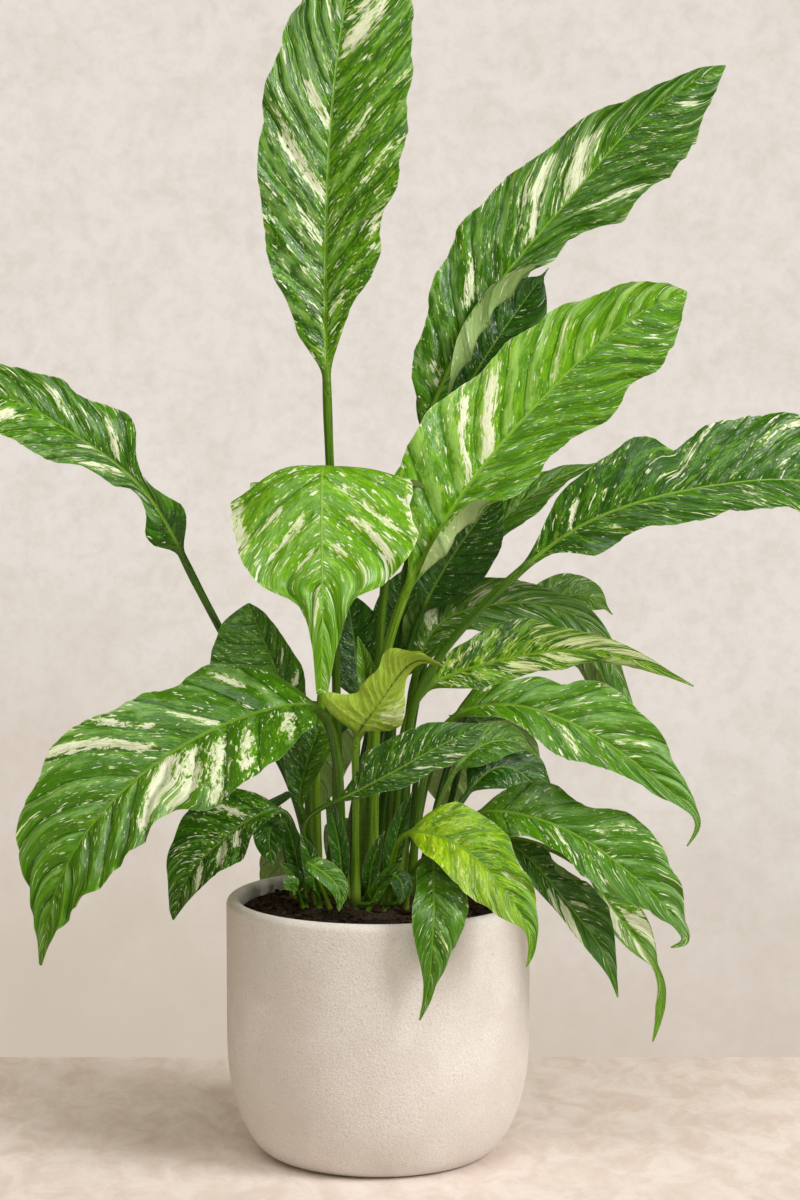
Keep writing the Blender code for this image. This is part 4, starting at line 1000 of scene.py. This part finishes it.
        left={0: 3, 10: 8, 20: 10.5, 30: 15.5, 40: 20, 50: 20, 60: 18, 70: 15.5, 80: 10, 90: 5.5, 95: 3,
            100: 0.5},
        right={0: 3, 10: 19.5, 20: 24, 30: 28, 40: 30, 50: 27, 60: 21, 70: 17, 80: 10, 90: 5.5, 95: 4,
            100: 0.5}, fold=(10, 10), faces=[(-0.2, -0.7, 0.7), (-0.4, -0.8, 0.4)], young=(0.16, 0.2),
        bloom=(0.2, 0.3, 0.3), mosaic=0.7, cream=0.4, flecks=0.4,
        splash=dict(left=[(30, 3, 10, 60, 1.1), (42, 3, 10, 80, 1.2), (60, 3, 20, 90, 1)],
            right=[(22, 1.4, 20, 95, 1.5)])),
    "leaf_left_rim": dict(
        seat=(-50, -5), stalk=[(-52, -8, 178)], radius=1.4,
        blade=[(-56, -12, 199), (-62, -24, 199), (-61, -34, 177)], both=(10, 0.7, 0.8),
        faces=[(-0.3, -0.9, 0.4), (-0.2, -1, 0.1)]),
    "leaf_left_inner": dict(
        seat=(-28, -3), stalk=[(-40, -3, 185)], radius=1.8,
        blade=[(-46, -4, 205), (-43, -1, 230), (-34, 2, 256)],
        left={0: 2, 20: 7, 50: 15, 75: 18, 90: 12, 100: 1},
        right={0: 2, 20: 5, 50: 10, 80: 12, 92: 8, 100: 1}, fold=(24, 24),
        faces=[(-0.1, -1, 0.1), (0.1, -1, 0.1)], young=(0.1, 0.5), cream=0.2),
    "leaf_centre_dark": dict(
        seat=(-35, -27), stalk=[(-42, -30, 186), (-42, -36, 204)], radius=1.4,
        blade=[(-25, -42, 217), (-2, -51, 230), (22, -55, 244), (45, -52, 256), (64, -47, 263)],
        left={0: 2, 10: 6, 20: 10, 30: 18, 50: 18, 60: 17.5, 70: 14.5, 80: 10, 90: 4.5, 100: 0.6},
        right={0: 2, 10: 5, 20: 6, 30: 8, 40: 12, 50: 12.5, 60: 10.5, 70: 13.5, 80: 13, 90: 7.5, 100: 0.6},
        fold=(10, 10), faces=[(0, -0.9, 0.4), (0, -0.95, 0.3)], young=(0.15, 0.15), bloom=(0.15, 0.15, 0.2),
        mosaic=0.7, cream=0.2, flecks=0.8,
        splash=dict(left=[(42, 1, 10, 70, 1.1), (55, 1, 20, 80, 0.8)], right=[(45, 2, 40, 90, 0.9),
            (60, 3, 40, 95, 0.8)])),
    "leaf_right_variegated": dict(
        tone="gold", seat=(7, 10), stalk=[(12, 14, 220)], radius=2.2,
        blade=[(28, 15, 275), (50, 18, 286), (93, 20, 296), (127, 18, 298), (160, 14, 290), (187, 8, 278)],
        left={0: 3, 10: 14, 20: 17, 30: 22, 40: 22.5, 50: 15.5, 60: 10, 70: 8.5, 80: 5, 90: 2, 100: 0.5},
        right={0: 4, 10: 12.5, 20: 17.5, 30: 14.5, 40: 13, 50: 15, 60: 10, 70: 11, 80: 7, 90: 2.5,
            100: 0.5}, fold=(10, 10), curl=dict(right=(72, 10, 150, 50, 80)),
        faces=[(0, -0.85, 0.5), (0.1, -0.85, 0.5)], young=(0.5, 0.6), bloom=(0.05, 0.05, 0.2), mosaic=1.1,
        cream=0.44,
        splash=dict(left=[(50, 6, 20, 95, 0.9), (66, 5, 10, 95, 0.9)], right=[(28, 3, 30, 95, 0.8),
            (44, 3, 0, 70, 0.9)])),
    "leaf_right_middle": dict(
        seat=(20, -3), stalk=[(26, -8, 220)], radius=2.2,
        blade=[(44, -16, 262), (74, -34, 273), (109, -44, 265), (142, -50, 246), (170, -54, 224),
            (184, -56, 206), (178, -58, 194)],
        left={0: 3, 10: 11, 20: 14, 30: 22, 35: 20, 40: 25, 50: 32, 60: 25, 70: 19, 80: 12, 88: 3,
            100: 0.5},
        right={0: 3, 10: 8, 20: 13, 30: 18, 40: 23, 50: 23, 60: 17, 70: 12, 80: 7, 88: 2.5, 100: 0.5},
        fold=(14, 12), pleat=3, faces=[(0, -0.8, 0.6), (0.35, -0.85, 0.45)], young=(0.5, 0.5),
        bloom=(0.6, 0.45, 0.15), mosaic=0.32, cream=0.14, flecks=0.8,
        splash=dict(left=[(55, 2, 10, 60, 0.8)], right=[(35, 3, 20, 80, 0.8), (50, 2, 10, 70, 0.8)])),
    "leaf_right_back_dark": dict(
        seat=(16, 22), stalk=[(16, 30, 220)], radius=2.2,
        blade=[(22, 36, 280), (38, 42, 312), (66, 46, 322), (101, 50, 322), (128, 54, 308), (144, 56, 282),
            (155, 56, 258)],
        left={0: 3, 10: 18, 20: 23, 30: 22, 40: 16, 50: 12, 60: 10, 70: 8, 80: 6, 90: 3, 100: 0.5},
        right={0: 3, 10: 12, 20: 16, 30: 18, 50: 18, 60: 17, 70: 15, 80: 13, 90: 9, 95: 5, 100: 0.5},
        faces=[(-0.3, -0.85, 0.5), (0, -0.8, 0.6), (0.3, -0.9, 0.2)], young=(0.4, 0.35),
        bloom=(0.7, 0.6, 0.15), cream=0.3, flecks=0.9,
        splash=dict(left=[(15, 2, 10, 80, 1), (28, 1.5, 10, 60, 0.9)])),
    "leaf_far_back_small": dict(
        seat=(19, 36), stalk=[(40, 62, 240)], radius=1.8,
        blade=[(88, 84, 300), (112, 94, 321), (130, 101, 322), (145, 106, 310)], both=(16, 0.6, 0.7),
        tail=(0.1, 2), fold=(6, 6), faces=[(0, -0.8, 0.6), (0.2, -0.8, 0.6)], young=(0.6, 0.6), cream=0.36),
    "leaf_front_yellow": dict(
        tone="yellow", seat=(5, -34), stalk=[(9, -48, 185)], radius=1.8,
        blade=[(17, -64, 202), (34, -78, 204), (60, -92, 189), (81, -102, 163), (87, -106, 150),
            (84, -107, 134)],
        left={0: 3, 10: 21, 20: 25, 30: 23.5, 40: 23, 50: 19, 60: 15.5, 70: 13, 80: 7, 87: 3, 95: 2,
            100: 0.4},
        right={0: 4, 5: 9, 10: 12, 20: 17, 30: 20, 40: 21, 50: 20, 60: 16, 70: 13, 75: 9, 80: 3.5, 90: 2.5,
            100: 0.4}, fold=(9, 9), veinGap=15, pleat=2.6, faces=[(0.1, -0.8, 0.6), (0.3, -0.95, 0.2)],
        young=(0.75, 1.2), youngTip=-0.85, bloom=(0.1, 0.1, 0.2), mosaic=0.85, cream=0.14, flecks=0.3,
        splash=dict(left=[(50, 3, 30, 80, 0.9)], right=[(30, 2, 30, 80, 0.6)])),
    "leaf_front_hanging": dict(
        seat=(16, -39), stalk=[(22, -48, 180)], radius=1.5,
        blade=[(30, -60, 188), (32, -82, 178), (32, -100, 160), (31, -103, 144), (29, -104, 122),
            (24, -105, 103)],
        left={0: 3, 10: 10, 20: 14, 30: 18, 40: 21, 50: 20, 60: 16, 70: 11, 80: 4.5, 90: 3, 100: 0.5},
        right={0: 3, 10: 9, 20: 10.6, 30: 10, 40: 12, 50: 12, 60: 9.6, 70: 6.3, 80: 3.3, 90: 1.5, 100: 0.5},
        fold=(12, 12), curl=dict(left=(65, 25, -55, 50, 72)),
        faces=[(0, -0.6, 0.8), (0, -1, 0.2), (0, -1, 0)], young=(0.4, 0.35), cream=0.2,
        splash=dict(left=[(50, 2, 20, 60, 0.6)], right=[(22, 3, 0, 30, 0.9)])),
    "leaf_lower_right": dict(
        seat=(30, -13), stalk=[(42, -18, 190)], radius=2,
        blade=[(57, -24, 206), (84, -38, 209), (119, -52, 197), (152, -64, 173), (173, -70, 150),
            (176, -72, 142), (168, -73, 138)],
        left={0: 3, 10: 17, 20: 22, 30: 21.5, 40: 18.5, 50: 27, 60: 27.5, 70: 22, 80: 15, 88: 5, 95: 2.5,
            100: 0.5},
        right={0: 3, 10: 12.5, 20: 17.5, 30: 18.5, 40: 21.5, 50: 22, 60: 22, 70: 16, 80: 12, 88: 4.5,
            95: 2.5, 100: 0.5}, fold=(14, 12), pleat=3, faces=[(0.1, -0.75, 0.65), (0.4, -0.85, 0.35)],
        young=(0.42, 0.4), bloom=(0.6, 0.45, 0.15), mosaic=0.32, cream=0.14, flecks=1,
        splash=dict(left=[(40, 2, 30, 90, 0.7)], right=[(30, 2, 10, 80, 0.8), (45, 1.5, 10, 80, 0.7)])),
    "leaf_lower_right_under": dict(
        seat=(27, -25), stalk=[(48, -28, 186)], radius=1.6,
        blade=[(72, -32, 192), (93, -40, 178), (119, -50, 147), (131, -54, 130), (139, -56, 105)],
        left={0: 2, 10: 8, 20: 14, 30: 18, 40: 19, 50: 19, 60: 17, 70: 12, 80: 6, 90: 2.5, 100: 0.5},
        right={0: 2, 10: 7, 20: 8, 30: 11.7, 40: 10.5, 50: 9, 60: 8.7, 70: 8, 80: 6.3, 90: 2.5, 100: 0.5},
        fold=(14, 10), curl=dict(left=(34, 14, 150, 50, 75)), faces=[(0.2, -0.85, 0.5), (0.4, -0.95, 0)],
        young=(0.15, 0.2), cream=0.22,
        splash=dict(left=[(45, 2, 10, 50, 0.7)], right=[(42, 6, 20, 100, 1.7), (30, 3, 40, 100, 1.3)])),
    "leaf_lower_right_far": dict(
        tone="bright", seat=(38, 0), stalk=[(66, -4, 188), (96, -12, 186)], radius=1.6,
        blade=[(124, -22, 170), (138, -28, 151), (154, -34, 131), (163, -36, 116), (166, -36, 100),
            (161, -36, 74)],
        left={0: 2, 10: 8, 20: 13, 30: 14, 40: 12, 50: 7, 58: 2.2, 70: 3, 80: 2.6, 90: 1.8, 100: 0.5},
        right={0: 2, 10: 5, 20: 8, 30: 10.5, 40: 10, 50: 6, 58: 1.8, 70: 2.4, 80: 4.5, 90: 2.7, 100: 0.5},
        fold=(10, 10), faces=[(0.3, -0.9, 0.3), (0.4, -1, 0)], young=(0.75, 0.75), cream=0.32,
        splash=dict(left=[(28, 6, 20, 95, 1.6)], right=[(20, 7, 0, 80, 1.6), (40, 5, 10, 80, 1.2)])),
    "leaf_right_back_pale": dict(
        seat=(27, 11), stalk=[(34, 18, 200)], radius=1.6,
        blade=[(46, 28, 224), (68, 38, 240), (86, 44, 238), (99, 48, 227)], left=(14, 0.6, 0.7),
        right=(13, 0.6, 0.7), tail=(0.25, 3), fold=(10, 10), faces=[(-0.1, -0.85, 0.5), (0.2, -0.8, 0.5)],
        young=(0.7, 0.4), cream=0.2),
    "leaf_right_back_low": dict(
        seat=(37, 13), stalk=[(42, 24, 190)], radius=1.7,
        blade=[(54, 34, 210), (74, 44, 224), (92, 52, 214), (102, 56, 194)], both=(17, 0.6, 0.7),
        faces=[(-0.1, -0.8, 0.6), (0.3, -0.8, 0.5)]),
    "leaf_behind_right_large": dict(
        seat=(11, 41), stalk=[(18, 58, 230), (32, 74, 300)], radius=2.3,
        blade=[(44, 84, 330), (66, 98, 358), (100, 112, 388), (138, 122, 404)], both=(17, 0.7, 0.8),
        faces=[(-0.4, -0.6, 0.9), (-0.2, -0.6, 0.9)], young=(0.5, 0.4), cream=0.3),
    "leaf_behind_right_inner": dict(
        seat=(-3, 24), stalk=[(6, 30, 230), (16, 36, 290)], radius=2,
        blade=[(26, 42, 318), (46, 46, 354), (76, 50, 394)], left=(22, 0.7, 0.8), right=(24, 0.7, 0.8),
        faces=[(0.1, -0.9, 0.3), (0.1, -0.9, 0.3)]),
    "leaf_inner_slim": dict(
        tone="bright", seat=(-12, 2), stalk=[(-9, 4, 210)], radius=1.6,
        blade=[(-4, 5, 258), (-6, 6, 284), (-12, 6, 308)], both=(7, 0.7, 0.8), fold=(30, 30),
        faces=[(0, -1, 0.1), (0, -1, 0.1)], young=(1, 1), cream=0.25),
    "leaf_inner_dark_left": dict(
        seat=(-14, 31), stalk=[(-14, 44, 220)], radius=2,
        blade=[(-12, 54, 262), (-14, 62, 292), (-20, 68, 330)], both=(20, 0.7, 0.7),
        faces=[(0, -1, 0.2), (0, -1, 0.2)]),
    "leaf_inner_dark_right": dict(
        seat=(-6, 40), stalk=[(4, 60, 220)], radius=2, blade=[(8, 76, 268), (13, 86, 300), (15, 92, 342)],
        both=(20, 0.7, 0.7), faces=[(0, -1, 0.2), (0, -1, 0.2)]),
    "leaf_soil_front": dict(
        tone="bright", seat=(-27, -40), stalk=[(-38, -50, 178)], radius=1.2,
        blade=[(-41, -56, 184), (-30, -63, 179), (-22, -67, 170), (-22, -69, 158)], left=(7.5, 0.6, 0.8),
        right=(6, 0.6, 0.8), fold=(12, 12), faces=[(0, -0.8, 0.6), (0, -1, 0.2)], young=(0.35, 0.3),
        cream=0.2),
    "leaf_soil_left": dict(
        tone="bright", seat=(-44, -28), stalk=[(-46, -33, 160)], radius=1,
        blade=[(-47, -37, 164), (-50, -42, 168), (-54, -47, 167)], both=(6, 0.6, 0.6), tail=(0.04, 1.6),
        faces=[(0, -0.8, 0.6), (0, -0.9, 0.4)], young=(0.3, 0.3), cream=0.25),
    "leaf_soil_right": dict(
        seat=(-6, -42), stalk=[(2, -46, 170)], radius=1.1,
        blade=[(8, -50, 176), (14, -56, 172), (13, -60, 161)], both=(6, 0.6, 0.8),
        faces=[(0, -0.8, 0.6), (0, -1, 0.2)]),
    "leaf_back_high": dict(
        seat=(-16, 42), stalk=[(2, 84, 240), (18, 112, 310)], radius=2.4,
        blade=[(40, 130, 350), (72, 156, 396), (102, 178, 440), (128, 192, 478)], both=(32, 0.8, 0.8),
        tail=(0.05, 1.6), faces=[(0, -0.3, 1), (0.1, 0, 1)]),
    "leaf_back_left": dict(
        seat=(-38, 32), stalk=[(-52, 62, 204)], radius=2.2,
        blade=[(-70, 92, 232), (-102, 126, 246), (-138, 158, 234), (-164, 178, 206), (-174, 186, 178)],
        both=(34, 0.6, 0.8), tail=(0.05, 1.6), fold=(6, 6), faces=[(-0.1, 0.4, 0.9), (-0.4, 0.8, 0.4)]),
    "leaf_back_left_low": dict(
        seat=(-50, 14), stalk=[(-58, 38, 182)], radius=1.8,
        blade=[(-64, 62, 194), (-78, 90, 192), (-90, 114, 172), (-94, 124, 148)], both=(24, 0.6, 0.8),
        fold=(6, 6), faces=[(-0.3, 0.4, 0.9), (-0.6, 0.7, 0.3)]),
    "leaf_back_right_low": dict(
        seat=(30, 26), stalk=[(44, 60, 200)], radius=2,
        blade=[(56, 96, 234), (70, 132, 242), (90, 166, 222), (104, 186, 182)], left=(28, 0.6, 0.8),
        right=(13, 0.6, 0.8), tail=(0.05, 1.6), fold=(6, 6), faces=[(0.1, 0.4, 0.9), (0.4, 0.8, 0.4)]),
    "leaf_back_upper": dict(
        seat=(-22, 36), stalk=[(-2, 84, 260), (22, 110, 350)], radius=2.3,
        blade=[(42, 126, 420), (66, 150, 496), (104, 176, 556), (142, 200, 594)], both=(25, 0.8, 0.8),
        tail=(0.05, 1.6), faces=[(0.5, 0.3, -0.2), (0.6, 0.3, 0.2)]),
    "leaf_back_right": dict(
        seat=(24, 18), stalk=[(38, 50, 210)], radius=2.1,
        blade=[(62, 88, 262), (96, 124, 290), (128, 154, 282), (148, 174, 250), (153, 182, 224)],
        both=(22, 0.6, 0.8), fold=(6, 6), faces=[(0.1, 0.4, 0.9), (0.5, 0.8, 0.3)]),
    "leaf_back_arching": dict(
        seat=(-32, 38), stalk=[(-26, 66, 200)], radius=2.1,
        blade=[(-28, 94, 232), (-32, 130, 250), (-38, 166, 232), (-42, 188, 194), (-42, 194, 162)],
        both=(32, 0.6, 0.8), fold=(6, 6), faces=[(0, 0.3, 1), (0, 1, 0.3)]),
    "leaf_back_centre": dict(
        tone="bright", seat=(10, 28), stalk=[(20, 56, 190)], radius=1.9,
        blade=[(24, 84, 216), (32, 114, 228), (42, 140, 206), (46, 152, 172)], both=(25, 0.6, 0.8),
        fold=(6, 6), faces=[(0.1, 0.3, 1), (0.3, 1, 0.3)], young=(0.2, 0.2), cream=0.25),
    "leaf_back_low": dict(
        seat=(-6, 47), stalk=[(-6, 62, 172)], radius=1.6,
        blade=[(-8, 78, 182), (-12, 96, 180), (-16, 106, 160), (-18, 108, 130)], both=(20, 0.6, 0.8),
        tail=(0.08, 1.6), fold=(6, 6), faces=[(0, 0.4, 1), (0, 1, 0.1)]),
    "leaf_back_low_left": dict(
        tone="bright", seat=(-46, 23), stalk=[(-50, 44, 168)], radius=1.5,
        blade=[(-52, 66, 176), (-58, 84, 166), (-60, 92, 140), (-60, 92, 116)], both=(17, 0.6, 0.8),
        tail=(0.08, 1.6), fold=(6, 6), faces=[(-0.3, 0.4, 1), (-0.6, 0.8, 0.1)], young=(0.2, 0.2),
        cream=0.25)}


# Small shoots at the foot of the clump: seat, middle, tip, greatest half width, young.
shoots = {
    "shootFront": ((-12, -40), (0, -46, 166), (15, -50, 184), 4.5, 0.2),
    "shootLeft": ((-42, -26), (-48, -32, 170), (-57, -36, 180), 5, 0.0),
    "shootBehindLeft": ((-34, -30), (-38, -34, 176), (-45, -38, 198), 6, 0.0),
    "shootMiddle": ((-8, -34), (-4, -38, 176), (4, -42, 200), 5, 0.0),
    "shootRight": ((4, -40), (14, -45, 166), (27, -48, 178), 4, 0.2),
    "shootTall": ((-18, -30), (-22, -34, 186), (-30, -38, 222), 6, 0.0),
    "shootBack": ((2, -28), (10, -32, 190), (20, -36, 222), 6.5, 0.0),
    "shootOuter": ((-42, -18), (-48, -24, 182), (-57, -27, 212), 6, 0.0)}
shootShape = dict(radius=1.3, fold=(22, 22), tail=(0.06, 0.6), faces=[(0, -0.9, 0.3), (0, -0.8, 0.5)],
                  bloom=(0.1, 0.1, 0.1), cream=0.15)
shootSeeds = 60              # the first shoot's seed
shootFoot, shootNeck = 151, 156


def leafName(node):
    # leaf_top_centre gives topCentreLeaf
    first, *others = node.split("_")[1:]
    return first + "".join(word.title() for word in others) + "Leaf"


for number, (node, leaf) in enumerate(leaves.items()):
    makeLeaf(leafName(node), number + 1, leaf, [node])
for number, (name, (seat, middle, tip, greatest, young)) in enumerate(shoots.items()):
    low = 0.6 * np.array([*seat, shootFoot]) + 0.4 * np.array(middle)
    makeLeaf(name, shootSeeds + number, dict(
        shootShape, seat=seat, stalk=[(*seat, shootNeck)], blade=[tuple(low), middle, tip],
        both=(greatest, 0.6, 0.7), young=(young, young)))
print("leaves made:", len(leaves), "and small shoots:", len(shoots))
